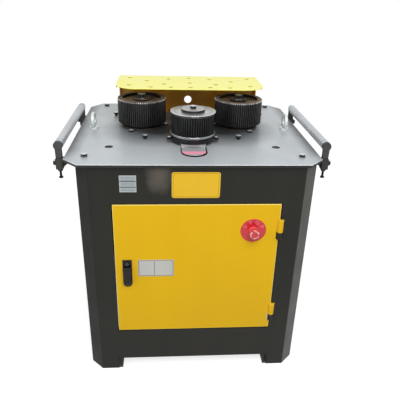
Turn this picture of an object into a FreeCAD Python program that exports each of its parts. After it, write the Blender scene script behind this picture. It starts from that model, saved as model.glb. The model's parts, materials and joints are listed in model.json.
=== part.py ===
import FreeCAD
import Part
import math
import os

# Floor-standing bar bending machine with two driven rollers and one press roller, in millimetres.
# +Z is up, the door faces -Y, and the origin is on the floor under the middle of the machine's box.

# Table
TABLE_TOP_Z = 872.0
TABLE_THICKNESS = 10.0
TABLE_HALF_WIDTH = 431.0
TABLE_DEPTH = 777.0
TABLE_FRONT_CUT = (52.0, 53.0)
TABLE_REAR_CUT = (48.0, 66.0)
FRONT_OVERHANG = 15.0
REAR_OVERHANG = 15.0
SIDE_OVERHANG = 26.0
STOP_REACH = 34.0

# Cabinet, whose middle stands a little to the right of the table's
CABINET_SHIFT_X = 10.0
CABINET_CORNER_CUT = 45.0
PANEL_WALL = 3.0
FOOT_GAP_HEIGHT = 51.0
FOOT_WIDTH = 66.0

# Corner posts and foot plates
POST_SIDE = 50.0
POST_WALL = 4.0
POST_INSET_X = 35.0
POST_INSET_Y = 15.0
CAP_PLATE_REACH = 30.0
FOOT_PLATE_SIDE = 90.0
FOOT_PLATE_THICKNESS = 8.0
CAP_PLATE_THICKNESS = 8.0
ANCHOR_HOLE = 14.0
ANCHOR_INSET = 20.0
GUSSET_THICKNESS = 6.0
GUSSET_HEIGHT = 120.0
GUSSET_END_HEIGHT = 62.0

# Door
DOOR_HALF_WIDTH = 287.7
DOOR_BOTTOM_Z = 191.0
DOOR_TOP_Z = 723.0
DOOR_GAP = 3.0
DOOR_SHEET = 2.0
DOOR_RETURN = 20.0
FRAME_RETURN = 20.0
HINGE_RADIUS = 11.0
HINGE_NOTCH_CLEARANCE = 1.5
HINGE_PIN_RADIUS = 5.0
HINGE_PIN_LENGTH = 36.0
HINGE_PIN_END_GAP = 1.0
HINGE_DOOR_LENGTH = 48.0
HINGE_FRAME_LENGTH = 27.0
HINGE_END_GAP = 0.4
HINGE_FROM_TOP = 108.0
HINGE_FROM_BOTTOM = 66.0
HINGE_LEAF = 4.0
HINGE_LEAF_LENGTH = 24.0
RUNNING_CLEARANCE = 0.05

# Door lock
LOCK_FROM_EDGE = 42.2
LOCK_Z = 451.0
LOCK_WIDTH = 33.0
LOCK_HEIGHT = 112.0
LOCK_PLATE = 4.0
LOCK_BODY_DEPTH = 22.0
LOCK_BODY_INSET = 4.0
LOCK_CASE_FLOOR = 4.0
LEVER_WIDTH = 25.0
LEVER_THICKNESS = 12.0
LEVER_LENGTH = 71.0
LEVER_PIN_RADIUS = 2.5
LEVER_PIN_UP = 17.0
LEVER_PIN_INSET = 1.0
LEVER_SLOT_REACH = 4.0
LEVER_LUG_WIDTH = 8.0
LEVER_GAP = 0.3
SPINDLE_RADIUS = 8.0
TONGUE_LENGTH = 57.0
TONGUE_WIDTH = 20.0
TONGUE_THICKNESS = 4.0
LOCK_BUTTON_RADIUS = 7.0
LOCK_BUTTON_REACH = 7.0
LOCK_BUTTON_LENGTH = 21.0
LOCK_BUTTON_INSET = 6.0

# Stop button
STOP_FROM_EDGE = 91.7
STOP_Z = 622.0
STOP_RING_RADIUS = 45.0
STOP_RING_THICKNESS = 2.0
STOP_HEAD_RADIUS = 20.0
STOP_HEAD_THICKNESS = 16.0
STOP_HEAD_FACE_RADIUS = 12.4
STOP_HEAD_CROWN = 4.2
STOP_HEAD_RIM = 3.3
STOP_HEAD_BACK_RADIUS = 15.6
STOP_HEAD_GAP = 0.3
STOP_TRAVEL = 5.0
STOP_COLLAR_RADIUS = 16.0
STOP_COLLAR_HEIGHT = 6.0
STOP_HOLE_RADIUS = 11.0
STOP_PLUNGER_RADIUS = 7.0
STOP_JOURNAL_RADIUS = 4.5
STOP_JOURNAL_LENGTH = 10.0
STOP_BARREL_END = 8.0
STOP_NUT_RADIUS = 16.0
STOP_NUT_THICKNESS = 6.0
CONTACT_BLOCK = (30.0, 34.0, 40.0)

# Bare plates on the front
NAMEPLATE_X = 2.0
DATA_PLATE_X = -222.0
# Each plate's middle height, width, height and corner radius
NAMEPLATE = (795.0, 161.0, 93.0, 8.0)
DATA_PLATE = (800.0, 56.0, 60.0, 1.5)
DOOR_PLATE_FROM_LOCK = 101.5
DOOR_PLATE = (471.5, 128.0, 69.0, 1.5)
PLATE_THICKNESS = 1.0

# Drive rollers and their gear train
GEAR_MODULE = 4.0
PINION_TEETH = 23
GEAR_TEETH = 72
GEAR_WIDTH = 50.0
GEAR_DROP = 177.0
GEAR_BACKLASH = 0.30
PRESSURE_ANGLE = 20.0
PINION_EXTRA_WIDTH = 6.0
GEAR_HUB_RADIUS = 42.5
GEAR_HUB = 12.0
FLANK_STEPS = 6
# A flute's corners: share of the pitch from the tooth's middle, and share of the depth
FLUTE_PROFILE = ((-0.25, 0.0), (0.15, 0.0), (0.32, 1.0), (0.58, 1.0))
DRIVE_FROM_REAR = 344.0
ROLLER_TOP_ABOVE_TABLE = 113.0
DRIVE_ROLLER_RADIUS = 93.5
DRIVE_ROLLER_FACE = 92.0
DRIVE_FLUTES = 72
DRIVE_FLUTE_DEPTH = 4.0
ROLLER_HUB_RADIUS = 70.0
ROLLER_RECESS_RADIUS = 74.0
ROLLER_RECESS_DEPTH = 9.0
ROLLER_BOSS_RADIUS = 34.0
ROLLER_BOSS_HEIGHT = 6.0
HUB_GAP = 1.0
SHAFT_RADIUS = 25.0
SHAFT_END_RADIUS = 22.5
KEY_WIDTH = 14.0
KEY_DEPTH = 5.0
KEY_STAND = 2.5
KEY_END_GAP = 12.0
END_WASHER_RADIUS = 28.0
END_WASHER_THICKNESS = 5.0
END_BOLT_FLATS = 30.0
END_BOLT_HEAD = 12.5
END_BOLT_RADIUS = 10.0
END_BOLT_LENGTH = 40.0
END_CLEARANCE = 4.0
HOUSING_RING_RADIUS = 79.0
HOUSING_RING_HEIGHT = 8.0
HOUSING_FLANGE_RADIUS = 107.0
HOUSING_FLANGE_THICKNESS = 20.0
HOUSING_BODY_RADIUS = 74.0
HOUSING_LENGTH = 125.0
BEARING_RADIUS = 45.0
BEARING_WIDTH = 25.0
BEARING_SHOULDER_RADIUS = 36.0
BEARING_LIP = 6.0
HOUSING_BOLT_CIRCLE = 92.0
HOUSING_BOLT_ANGLES = (-65.0, 55.0, 175.0)

# Press roller
PRESS_SETBACK = 192.4
PRESS_BODY_RADIUS = 76.5
PRESS_FLUTES = 56
PRESS_FLUTE_DEPTH = 3.5
PRESS_FACE = 69.5
PRESS_TOP_FLANGE_RADIUS = 81.0
PRESS_TOP_FLANGE = 6.0
PRESS_LOW_FLANGE_RADIUS = 81.6
PRESS_LOW_FLANGE = 7.0
PRESS_SPACER_RADIUS = 60.0
PRESS_SPACER = 6.0
PRESS_CAP_RADIUS = 42.0
PRESS_CAP_THICKNESS = 8.5
PRESS_BOLT_FLATS = 21.0
PRESS_BOLT_HEAD = 9.0
PRESS_BOLT_RADIUS = 7.0
PRESS_AXLE_RADIUS = 24.0
PRESS_END_PLAY = 0.5
AXLE_SEAT = 6.0
PRESS_BUSH_RADIUS = 32.0
BASE_DISC_RADIUS = 78.0
BASE_DISC_THICKNESS = 14.0
EAR_REACH = 94.0
EAR_HALF_WIDTH = 12.0
EAR_THICKNESS = 5.0
EAR_BOLT_X = 85.0
EAR_FORWARD = 12.0
EAR_BOLT_FLATS = 13.0
EAR_BOLT_HEAD = 5.3

# Slide, its slot, rails and feed screw
SLOT_HALF_WIDTH = 46.0
SLOT_FRONT_FROM_EDGE = 73.0
SLOT_FRONT_GAP = 18.0
SLOT_REAR_GAP = 10.0
NOSE_HALF_WIDTH = 42.0
NOSE_BELOW_TABLE = 3.0
NOSE_THICKNESS = 10.0
NECK_HALF_WIDTH = 45.0
NECK_HALF_LENGTH = 58.0
SLIDE_HALF_WIDTH = 60.0
SLIDE_HALF_LENGTH = 85.0
SLIDE_DEPTH = 38.0
SLIDE_CLEARANCE = 0.3
RAIL_WIDTH = 17.0
RAIL_LIP = 15.0
RAIL_LIP_THICKNESS = 11.0
RAIL_OVERRUN = 10.0
NUT_HALF_WIDTH = 32.0
NUT_HALF_LENGTH = 40.0
FEED_TRAVEL = 120.0
FEED_BACK = 5.0
FEED_SCREW_RADIUS = 15.0
FEED_DROP = 77.0
FEED_JOURNAL_RADIUS = 10.0
FEED_JOURNAL_LENGTH = 30.0
FEED_SHOULDER_GAP = 1.0
FEED_BLOCK_GAP = 4.0
FEED_BLOCK_FLOOR = 3.0
FEED_REAR_GAP = 67.0
NUT_BOTTOM_WALL = 10.0
FEED_BLOCK_HALF_WIDTH = 40.0
FEED_BLOCK_THICKNESS = 34.0
FEED_MOTOR_RADIUS = 52.0
FEED_MOTOR_LENGTH = 150.0
FEED_GEARBOX_LENGTH = 60.0
FEED_GEARBOX_HALF = 56.0
FEED_FLANGE_THICKNESS = 12.0

# Reducer, drive motor and shelf
SHELF_DROP = 272.0
SHELF_THICKNESS = 12.0
SHELF_DEPTH = 240.0
SHELF_RIB_HEIGHT = 50.0
SHELF_RIB = 6.0
REDUCER_FLANGE_GAP = 1.0
REDUCER_FLANGE = 14.0
REDUCER_RADIUS = 98.0
REDUCER_LENGTH = 150.0
REDUCER_RIBS = 8
REDUCER_RIB_REACH = 6.0
REDUCER_RIB_WIDTH = 8.0
SPIGOT_RADIUS = 60.0
SPIGOT_HEIGHT = 8.0
PINION_SHAFT_RADIUS = 24.0
PINION_SHAFT_ENGAGEMENT = 60.0
MOTOR_RADIUS = 82.0
MOTOR_LENGTH = 190.0
MOTOR_FINS = 24
MOTOR_FIN_REACH = 8.0
MOTOR_FIN_WIDTH = 3.0
MOTOR_FLANGE = 12.0
FAN_COVER_LENGTH = 45.0
TERMINAL_BOX = (60.0, 45.0, 80.0)
TERMINAL_BOX_DROP = 15.0

# Guard
GUARD_HALF_WIDTH = 292.0
GUARD_REAR_FROM_EDGE = 123.0
GUARD_HEIGHT = 153.0
GUARD_TOP_DEPTH = 254.0
GUARD_CORNER_RADIUS = 80.0
GUARD_SHEET = 3.0
GUARD_SIDE_FLANGE = 40.0
GUARD_FOOT_LIP = 18.0
GUARD_TOP_FLANGE = 20.0
GUARD_TAB_DEPTH = 12.0
GUARD_HOLE_RADIUS = 16.0
GUARD_HOLE_UP = 53.0
GUARD_PERFORATION_RADIUS = 10.0
# Perforations: distance behind the front edge, and places across that repeat on both sides
GUARD_PERFORATIONS = (
    (38.0, (0.0, 77.0, 155.0)),
    (69.0, (240.0,)),
    (92.0, (104.0,)),
    (118.5, (0.0,)),
    (154.0, (173.0,)),
    (192.0, (85.0,)),
    (211.0, (0.0, 247.0)),
)
GUARD_SCREW_X = (80.0, 240.0)
GUARD_SCREW_RADIUS = 3.0
GUARD_SCREW_HEAD_RADIUS = 6.0
GUARD_SCREW_CROWN_RADIUS = 3.6
GUARD_SCREW_HEAD = 3.5
GUARD_SCREW_LENGTH = 16.0

# Fasteners and plugs on the table
CORNER_BOLT_FLATS = 19.0
CORNER_BOLT_HEAD = 7.5
CORNER_BOLT_RADIUS = 6.0
CORNER_WASHER_RADIUS = 12.0
CORNER_WASHER = 2.0
# Each corner bolt's distance from the table's side and from its front or rear edge
CORNER_BOLT_FRONT = (64.5, 79.5)
CORNER_BOLT_REAR = (69.0, 44.0)
PLUG_X = 295.5
PLUG_FROM_FRONT = 174.0
PLUG_RADIUS = 14.5
PLUG_RECESS = 2.5
STAND_BOLT_X = 173.0
STAND_BOLT_FROM_DRIVE = 169.0
STAND_NUT_UP = 8.0
REAR_BOLT_X = 306.0
REAR_BOLT_FROM_REAR = 205.0
EYEBOLT_FROM_SIDE = 56.0
EYEBOLT_FROM_FRONT = 393.0
EYEBOLT_RING_RADIUS = 24.5
EYEBOLT_WIRE_RADIUS = 7.0
EYEBOLT_COLLAR_RADIUS = 17.5
EYEBOLT_COLLAR = 7.0
EYEBOLT_SHANK_RADIUS = 8.0
EYEBOLT_SHANK = 28.0
EYEBOLT_NUT_FLATS = 24.0
EYEBOLT_NUT = 13.0

# Side support rollers
SUPPORT_FROM_EDGE = 19.0
SUPPORT_ABOVE_TABLE = 33.0
SUPPORT_FRONT_FROM_EDGE = 84.0
SUPPORT_LENGTH = 512.0
SUPPORT_TUBE_RADIUS = 15.5
SUPPORT_TUBE_WALL = 3.0
SUPPORT_END_CAP = 14.0
SUPPORT_PIN_RADIUS = 6.0
SUPPORT_PIN_LENGTH = 30.0
SUPPORT_SIDE_GAP = 0.4
ARM_WIDTH = 22.0
ARM_THICKNESS = 12.0
FRONT_BOSS_RADIUS = 15.5
REAR_BOSS_RADIUS = 13.0
ARM_SHOULDER_UP = 1.0
ARM_SQUARE = 12.0
ARM_SQUARE_LENGTH = 36.0
SOCKET_WIDTH = 23.0
SOCKET_DEPTH = 26.0
SOCKET_HEIGHT = 46.0
SOCKET_TIP_HEIGHT = 9.0
SOCKET_TIP_RADIUS = 7.0
SOCKET_CLEARANCE = 0.25
SOCKET_FOOT_THICKNESS = 8.0
SOCKET_FOOT_GAP = 2.0
SOCKET_RIB = 8.0
SOCKET_RIB_DROP = 32.0
SOCKET_RIB_END_DROP = 14.0
LOCK_BOLT_DROP = 16.0
LOCK_BOLT_RADIUS = 5.0
LOCK_BOLT_FLATS = 17.0
LOCK_BOLT_HEAD = 6.4
LOCK_BOLT_STAND = 2.4
JACK_RADIUS = 4.0
JACK_FLATS = 13.0
JACK_HEAD = 5.3
JACK_EXPOSED = 20.0
JACK_TIP_GAP = 0.2

# Electrical pieces and gland
PANEL_PLATE = (3.0, 300.0, 320.0)
PANEL_CENTRE = (0.0, 360.0)
PANEL_STANDOFF = 12.0
STANDOFF_INSET = 15.0
STANDOFF_RADIUS = 6.0
CONTACTOR = (75.0, 45.0, 74.0)
CONTACTOR_PITCH = 60.0
CONTACTOR_COUNT = 4
CONTACTOR_UP = 20.0
CONTACTOR_NOSE = 12.0
CONTACTOR_NOSE_INSET = 16.0
TERMINAL_STRIP = (35.0, 230.0, 30.0)
TERMINAL_STRIP_DROP = 90.0
GLAND_FROM_REAR = 133.0
GLAND_Z = 120.0
GLAND_HEX = 27.0
GLAND_BORE = 6.0
GLAND_HOLE_RADIUS = 10.0
GLAND_BODY = 8.0
GLAND_CAP = 14.0
GLAND_CAP_RADIUS = 12.5
GLAND_NUT = 5.0
GLAND_THREAD_END = 8.0

# Rear cover
COVER_HALF_WIDTH = 210.0
COVER_BOTTOM_Z = 150.0
COVER_TOP_Z = 700.0
COVER_SHEET = 2.0
COVER_LAP = 15.0
LOUVRE_ROWS = 6
LOUVRE_COLUMNS = 2
LOUVRE_LENGTH = 130.0
LOUVRE_HEIGHT = 8.0
LOUVRE_PITCH = 26.0
LOUVRE_GAP = 30.0
LOUVRE_FIRST_UP = 60.0
COVER_SCREW_RADIUS = 3.0
COVER_SCREW_HEAD_RADIUS = 6.0
COVER_SCREW_HEAD = 3.3
COVER_SCREW_INSET = 8.0
COVER_SCREW_LENGTH = 8.0

# How far a cutter runs past what it cuts
OVERCUT = 1.0

# Places worked out from the sizes above
BOX_DEPTH = TABLE_DEPTH - FRONT_OVERHANG + STOP_REACH
TABLE_REAR_Y = BOX_DEPTH / 2
TABLE_FRONT_Y = TABLE_REAR_Y - TABLE_DEPTH
TABLE_UNDER_Z = TABLE_TOP_Z - TABLE_THICKNESS
CABINET_FRONT_Y = TABLE_FRONT_Y + FRONT_OVERHANG
CABINET_REAR_Y = TABLE_REAR_Y - REAR_OVERHANG
CABINET_HALF_WIDTH = TABLE_HALF_WIDTH - SIDE_OVERHANG
FACE_HALF_WIDTH = CABINET_HALF_WIDTH - CABINET_CORNER_CUT
CORNER_FRONT_Y = CABINET_FRONT_Y + CABINET_CORNER_CUT
CORNER_REAR_Y = CABINET_REAR_Y - CABINET_CORNER_CUT
DOOR_LEFT_X = CABINET_SHIFT_X - DOOR_HALF_WIDTH
DOOR_RIGHT_X = CABINET_SHIFT_X + DOOR_HALF_WIDTH
HINGE_X = DOOR_RIGHT_X + DOOR_GAP
ROLLER_PITCH = GEAR_MODULE * (PINION_TEETH + GEAR_TEETH) / 2
DRIVE_Y = TABLE_REAR_Y - DRIVE_FROM_REAR
PRESS_Y = DRIVE_Y - PRESS_SETBACK
ROLLER_TOP_Z = TABLE_TOP_Z + ROLLER_TOP_ABOVE_TABLE
ROLLER_FACE_Z = ROLLER_TOP_Z - DRIVE_ROLLER_FACE
HOUSING_TOP_Z = TABLE_TOP_Z + HOUSING_RING_HEIGHT
HUB_LOW_Z = HOUSING_TOP_Z + HUB_GAP
HOUSING_LOW_Z = TABLE_UNDER_Z - HOUSING_LENGTH
GEAR_LOW_Z = TABLE_UNDER_Z - GEAR_DROP - GEAR_WIDTH / 2
SHELF_TOP_Z = TABLE_UNDER_Z - SHELF_DROP
SHELF_LOW_Z = SHELF_TOP_Z - SHELF_THICKNESS
FEED_Z = TABLE_UNDER_Z - FEED_DROP
SLOT_FRONT_Y = TABLE_FRONT_Y + SLOT_FRONT_FROM_EDGE
SLOT_REAR_Y = PRESS_Y + NECK_HALF_LENGTH + FEED_TRAVEL + SLOT_REAR_GAP
NOSE_Y = SLOT_FRONT_Y + SLOT_FRONT_GAP + FEED_BACK + NOSE_HALF_WIDTH
PRESS_TOP_Z = ROLLER_TOP_Z
PRESS_BODY_TOP_Z = PRESS_TOP_Z - PRESS_TOP_FLANGE
PRESS_BODY_LOW_Z = PRESS_BODY_TOP_Z - PRESS_FACE
PRESS_FLANGE_LOW_Z = PRESS_BODY_LOW_Z - PRESS_LOW_FLANGE
BASE_DISC_TOP_Z = PRESS_FLANGE_LOW_Z - PRESS_SPACER
BASE_DISC_LOW_Z = BASE_DISC_TOP_Z - BASE_DISC_THICKNESS
SLIDE_TOP_Z = TABLE_UNDER_Z - SLIDE_CLEARANCE
SLIDE_LOW_Z = SLIDE_TOP_Z - SLIDE_DEPTH
FEED_FRONT_Y = SLOT_FRONT_Y - FEED_BLOCK_THICKNESS - FEED_BLOCK_GAP
FEED_REAR_Y = PRESS_Y + SLIDE_HALF_LENGTH + FEED_TRAVEL + FEED_REAR_GAP
GUARD_REAR_Y = TABLE_REAR_Y - GUARD_REAR_FROM_EDGE
GUARD_TOP_Z = TABLE_TOP_Z + GUARD_HEIGHT
GUARD_FRONT_Y = GUARD_REAR_Y - GUARD_TOP_DEPTH
SUPPORT_X = TABLE_HALF_WIDTH + SUPPORT_FROM_EDGE
SUPPORT_Z = TABLE_TOP_Z + SUPPORT_ABOVE_TABLE
SUPPORT_FRONT_Y = TABLE_FRONT_Y + SUPPORT_FRONT_FROM_EDGE
SUPPORT_REAR_Y = SUPPORT_FRONT_Y + SUPPORT_LENGTH
DOOR_FACE_Y = CABINET_FRONT_Y
LOCK_X = DOOR_LEFT_X + LOCK_FROM_EDGE
STOP_X = DOOR_RIGHT_X - STOP_FROM_EDGE
GLAND_Y = CABINET_REAR_Y - GLAND_FROM_REAR
SIDES = (("left", -1), ("right", 1))

X_AXIS = FreeCAD.Vector(1, 0, 0)
Y_AXIS = FreeCAD.Vector(0, 1, 0)
Z_AXIS = FreeCAD.Vector(0, 0, 1)


def vec(x, y, z=0.0):
    return FreeCAD.Vector(x, y, z)


def box(x0, x1, y0, y1, z0, z1):
    """A block between two opposite corners, given in any order."""
    low = vec(min(x0, x1), min(y0, y1), min(z0, z1))
    return Part.makeBox(abs(x1 - x0), abs(y1 - y0), abs(z1 - z0), low)


def rod(radius, start, end):
    """A round bar from one point to another."""
    way = end - start
    return Part.makeCylinder(radius, way.Length, start, way)


def disc(radius, x, y, z0, z1):
    return rod(radius, vec(x, y, z0), vec(x, y, z1))


def bore(radius, start, end):
    """A round cutter that runs a little past both of its ends."""
    past = end - start
    past.multiply(OVERCUT / past.Length)
    return rod(radius, start - past, end + past)


def hole(radius, x, y, z0, z1):
    return bore(radius, vec(x, y, z0), vec(x, y, z1))


def ring(outer, inner, x, y, z0, z1):
    return disc(outer, x, y, z0, z1).cut(disc(inner, x, y, z0, z1))


def prism(points, z0, z1):
    """An upright solid over a plan outline."""
    corners = [vec(x, y, z0) for x, y in points]
    face = Part.Face(Part.makePolygon(corners + corners[:1]))
    return face.extrude(vec(0, 0, z1 - z0))


def upright_plate(points, way):
    """A plate with straight edges, drawn on one face and given its thickness by a vector."""
    return Part.Face(Part.makePolygon(points + points[:1])).extrude(way)


def hexagon(flats, base, way):
    """A hexagonal bar that starts at a point and has the length and direction of a vector."""
    corner = flats / math.sqrt(3)
    side = way.cross(X_AXIS)
    if side.Length < 1e-6:
        side = way.cross(Y_AXIS)
    side.normalize()
    up = side.cross(way)
    up.normalize()
    points = []
    for step in range(6):
        turn = math.radians(60 * step)
        points.append(base + side * (corner * math.cos(turn)) + up * (corner * math.sin(turn)))
    return upright_plate(points, way)


def join(shapes):
    """One solid from several that meet."""
    whole = shapes[0]
    for shape in shapes[1:]:
        whole = whole.fuse(shape)
    return whole.removeSplitter()


def octagon(half, front, rear, front_cut, rear_cut, shift=0.0):
    """The plan outline of a rectangle with its corners cut off."""
    return [
        (shift - half + front_cut[0], front),
        (shift + half - front_cut[0], front),
        (shift + half, front + front_cut[1]),
        (shift + half, rear - rear_cut[1]),
        (shift + half - rear_cut[0], rear),
        (shift - half + rear_cut[0], rear),
        (shift - half, rear - rear_cut[1]),
        (shift - half, front + front_cut[1]),
    ]


def cabinet_outline(inset):
    """The cabinet's plan, drawn in by a distance that is square to every face."""
    cut = CABINET_CORNER_CUT - inset * (2 - math.sqrt(2))
    corner = (cut, cut)
    half = CABINET_HALF_WIDTH - inset
    return octagon(half, CABINET_FRONT_Y + inset, CABINET_REAR_Y - inset, corner, corner, CABINET_SHIFT_X)


def rounded_plate(x, z, width, height, corner, y0, y1):
    """An upright plate with rounded corners that faces the front."""
    left, right = x - width / 2, x + width / 2
    low, high = z - height / 2, z + height / 2
    plate = box(left, right, y0, y1, low, high)
    edges = [edge for edge in plate.Edges if abs(edge.tangentAt(edge.FirstParameter).y) > 0.9]
    return plate.makeFillet(corner, edges)


def flutes(radius, depth, count, x, y, z0, z1):
    """A toothed roller: flat tips as wide as the roots, and slanted sides."""
    pitch = 2 * math.pi / count
    points = []
    for tooth in range(count):
        start = tooth * pitch
        for share, sunk in FLUTE_PROFILE:
            turn = start + share * pitch
            reach = radius - sunk * depth
            points.append((x + reach * math.cos(turn), y + reach * math.sin(turn)))
    return prism(points, z0, z1)


def involute_gear(teeth, x, y, z0, z1, turn):
    """A spur gear with involute flanks, one tooth on the given angle."""
    pitch_radius = GEAR_MODULE * teeth / 2
    base_radius = pitch_radius * math.cos(math.radians(PRESSURE_ANGLE))
    tip_radius = pitch_radius + GEAR_MODULE
    root_radius = pitch_radius - 1.25 * GEAR_MODULE
    at_pitch = math.tan(math.radians(PRESSURE_ANGLE)) - math.radians(PRESSURE_ANGLE)
    half_tooth = math.pi / (2 * teeth) - GEAR_BACKLASH / (2 * pitch_radius)
    flank = []
    start = max(base_radius, root_radius)
    if base_radius > root_radius:
        flank.append((root_radius, half_tooth + at_pitch))
    for step in range(FLANK_STEPS + 1):
        radius = start + (tip_radius - start) * step / FLANK_STEPS
        angle = math.acos(min(1.0, base_radius / radius))
        lean = half_tooth + at_pitch - (math.tan(angle) - angle)
        flank.append((radius, lean))
    points = []
    for tooth in range(teeth):
        middle = turn + 2 * math.pi * tooth / teeth
        for radius, lean in flank:
            points.append((radius, middle - lean))
        for radius, lean in reversed(flank):
            points.append((radius, middle + lean))
    outline = [(x + radius * math.cos(angle), y + radius * math.sin(angle)) for radius, angle in points]
    return prism(outline, z0, z1)


def hex_bolt(x, y, seat_z, flats, head, radius, length, washer_radius=0.0, washer=0.0):
    """A hex bolt that stands on a face: its washer, if any, its head and its shank below."""
    shapes = [hexagon(flats, vec(x, y, seat_z + washer), vec(0, 0, head))]
    shapes.append(disc(radius, x, y, seat_z - length, seat_z + washer))
    if washer:
        shapes.append(disc(washer_radius, x, y, seat_z, seat_z + washer))
    return join(shapes)


# Cabinet

def cabinet_shell():
    """The folded cabinet wall before it is split into panels, with the gaps between its feet."""
    outer = prism(cabinet_outline(0.0), 0.0, TABLE_UNDER_Z)
    inner = prism(cabinet_outline(PANEL_WALL), 0.0, TABLE_UNDER_Z)
    shell = outer.cut(inner)
    gap_half = FACE_HALF_WIDTH - FOOT_WIDTH
    left, right = CABINET_SHIFT_X - gap_half, CABINET_SHIFT_X + gap_half
    far = TABLE_DEPTH
    shell = shell.cut(box(left, right, -far, far, 0.0, FOOT_GAP_HEIGHT))
    side_front = CORNER_FRONT_Y + FOOT_WIDTH
    side_rear = CORNER_REAR_Y - FOOT_WIDTH
    far = 2 * CABINET_HALF_WIDTH
    return shell.cut(box(-far, far, side_front, side_rear, 0.0, FOOT_GAP_HEIGHT))


def hinge_zones():
    """The lowest and highest heights of each hinge's frame half and door half."""
    upper_low = DOOR_TOP_Z - HINGE_FROM_TOP - HINGE_FRAME_LENGTH
    lower_low = DOOR_BOTTOM_Z + HINGE_FROM_BOTTOM - HINGE_FRAME_LENGTH
    zones = []
    for low in (upper_low, lower_low):
        middle = low + HINGE_FRAME_LENGTH
        zones.append((low, middle, middle + HINGE_END_GAP, middle + HINGE_DOOR_LENGTH))
    return zones


def hinge_notch():
    """The round clearance that the door and its frame leave for the hinges."""
    radius = HINGE_RADIUS + HINGE_NOTCH_CLEARANCE
    cuts = []
    for low, _, _, high in hinge_zones():
        start = low - HINGE_NOTCH_CLEARANCE
        cuts.append(disc(radius, HINGE_X, DOOR_FACE_Y, start, high + HINGE_NOTCH_CLEARANCE))
    return cuts[0].fuse(cuts[1])


def front_panel(shell):
    """Front wall with its two slanted corners, and the folded edge around the doorway."""
    far = 2 * CABINET_HALF_WIDTH
    panel = shell.common(box(-far, far, -TABLE_DEPTH, CORNER_FRONT_Y, 0.0, TABLE_UNDER_Z))
    left, right = DOOR_LEFT_X - DOOR_GAP, DOOR_RIGHT_X + DOOR_GAP
    low, high = DOOR_BOTTOM_Z - DOOR_GAP, DOOR_TOP_Z + DOOR_GAP
    wall = PANEL_WALL
    back = CABINET_FRONT_Y + wall
    edge = box(left - wall, right + wall, back, back + FRAME_RETURN, low - wall, high + wall)
    doorway = box(left, right, CABINET_FRONT_Y - OVERCUT, back + FRAME_RETURN + OVERCUT, low, high)
    panel = join([panel, edge]).cut(doorway)
    return panel.cut(hinge_notch())


def side_panel(shell, side):
    far = 2 * CABINET_HALF_WIDTH
    half = box(CABINET_SHIFT_X, side * far, CORNER_FRONT_Y, CORNER_REAR_Y, 0.0, TABLE_UNDER_Z)
    panel = shell.common(half)
    if side > 0:
        wall = CABINET_SHIFT_X + CABINET_HALF_WIDTH
        inside = vec(wall - PANEL_WALL, GLAND_Y, GLAND_Z)
        panel = panel.cut(bore(GLAND_HOLE_RADIUS, inside, vec(wall, GLAND_Y, GLAND_Z)))
    return panel


def cover_opening():
    left = CABINET_SHIFT_X - COVER_HALF_WIDTH + COVER_LAP
    right = CABINET_SHIFT_X + COVER_HALF_WIDTH - COVER_LAP
    return left, right, COVER_BOTTOM_Z + COVER_LAP, COVER_TOP_Z - COVER_LAP


def cover_screw_places():
    """Where the rear cover's screws are, two at each corner and one halfway up each side."""
    places = []
    for side in (-1, 1):
        x = CABINET_SHIFT_X + side * (COVER_HALF_WIDTH - COVER_SCREW_INSET)
        for share in (0.0, 0.5, 1.0):
            low = COVER_BOTTOM_Z + COVER_SCREW_INSET
            high = COVER_TOP_Z - COVER_SCREW_INSET
            places.append((x, low + share * (high - low)))
    return places


def rear_panel(shell):
    far = 2 * CABINET_HALF_WIDTH
    panel = shell.common(box(-far, far, CORNER_REAR_Y, TABLE_DEPTH, 0.0, TABLE_UNDER_Z))
    left, right, low, high = cover_opening()
    inside = CABINET_REAR_Y - PANEL_WALL
    panel = panel.cut(box(left, right, inside - OVERCUT, CABINET_REAR_Y + OVERCUT, low, high))
    for x, z in cover_screw_places():
        panel = panel.cut(bore(COVER_SCREW_RADIUS, vec(x, inside, z), vec(x, CABINET_REAR_Y, z)))
    return panel


def rear_cover():
    """Screwed-on cover with rows of ventilation slots."""
    left, right = CABINET_SHIFT_X - COVER_HALF_WIDTH, CABINET_SHIFT_X + COVER_HALF_WIDTH
    back = CABINET_REAR_Y + COVER_SHEET
    cover = box(left, right, CABINET_REAR_Y, back, COVER_BOTTOM_Z, COVER_TOP_Z)
    cuts = []
    for row in range(LOUVRE_ROWS):
        for column in range(LOUVRE_COLUMNS):
            middle = CABINET_SHIFT_X + (column - (LOUVRE_COLUMNS - 1) / 2) * (LOUVRE_LENGTH + LOUVRE_GAP)
            low = COVER_BOTTOM_Z + LOUVRE_FIRST_UP + row * LOUVRE_PITCH
            half = LOUVRE_LENGTH / 2
            front = CABINET_REAR_Y - OVERCUT
            cuts.append(box(middle - half, middle + half, front, back + OVERCUT, low, low + LOUVRE_HEIGHT))
    for x, z in cover_screw_places():
        cuts.append(bore(COVER_SCREW_RADIUS, vec(x, CABINET_REAR_Y, z), vec(x, back, z)))
    return cover.cut(cuts)


def cover_screws():
    screws = []
    back = CABINET_REAR_Y + COVER_SHEET
    for x, z in cover_screw_places():
        seat = vec(x, back, z)
        head = rod(COVER_SCREW_HEAD_RADIUS, seat, seat + vec(0, COVER_SCREW_HEAD))
        screws.append(join([head, rod(COVER_SCREW_RADIUS, seat - vec(0, COVER_SCREW_LENGTH), seat)]))
    return screws


def corner_places():
    """The signs along X and Y of the cabinet's four corners."""
    return [(sx, sy) for sx in (-1, 1) for sy in (-1, 1)]


def corner_block(sx, sy, x_near, x_far, y_near, y_far, z0, z1):
    """A block in one corner, with distances counted outwards from the cabinet's middle."""
    middle_y = (CABINET_FRONT_Y + CABINET_REAR_Y) / 2
    x0, x1 = CABINET_SHIFT_X + sx * x_near, CABINET_SHIFT_X + sx * x_far
    return box(x0, x1, middle_y + sy * y_near, middle_y + sy * y_far, z0, z1)


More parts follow.
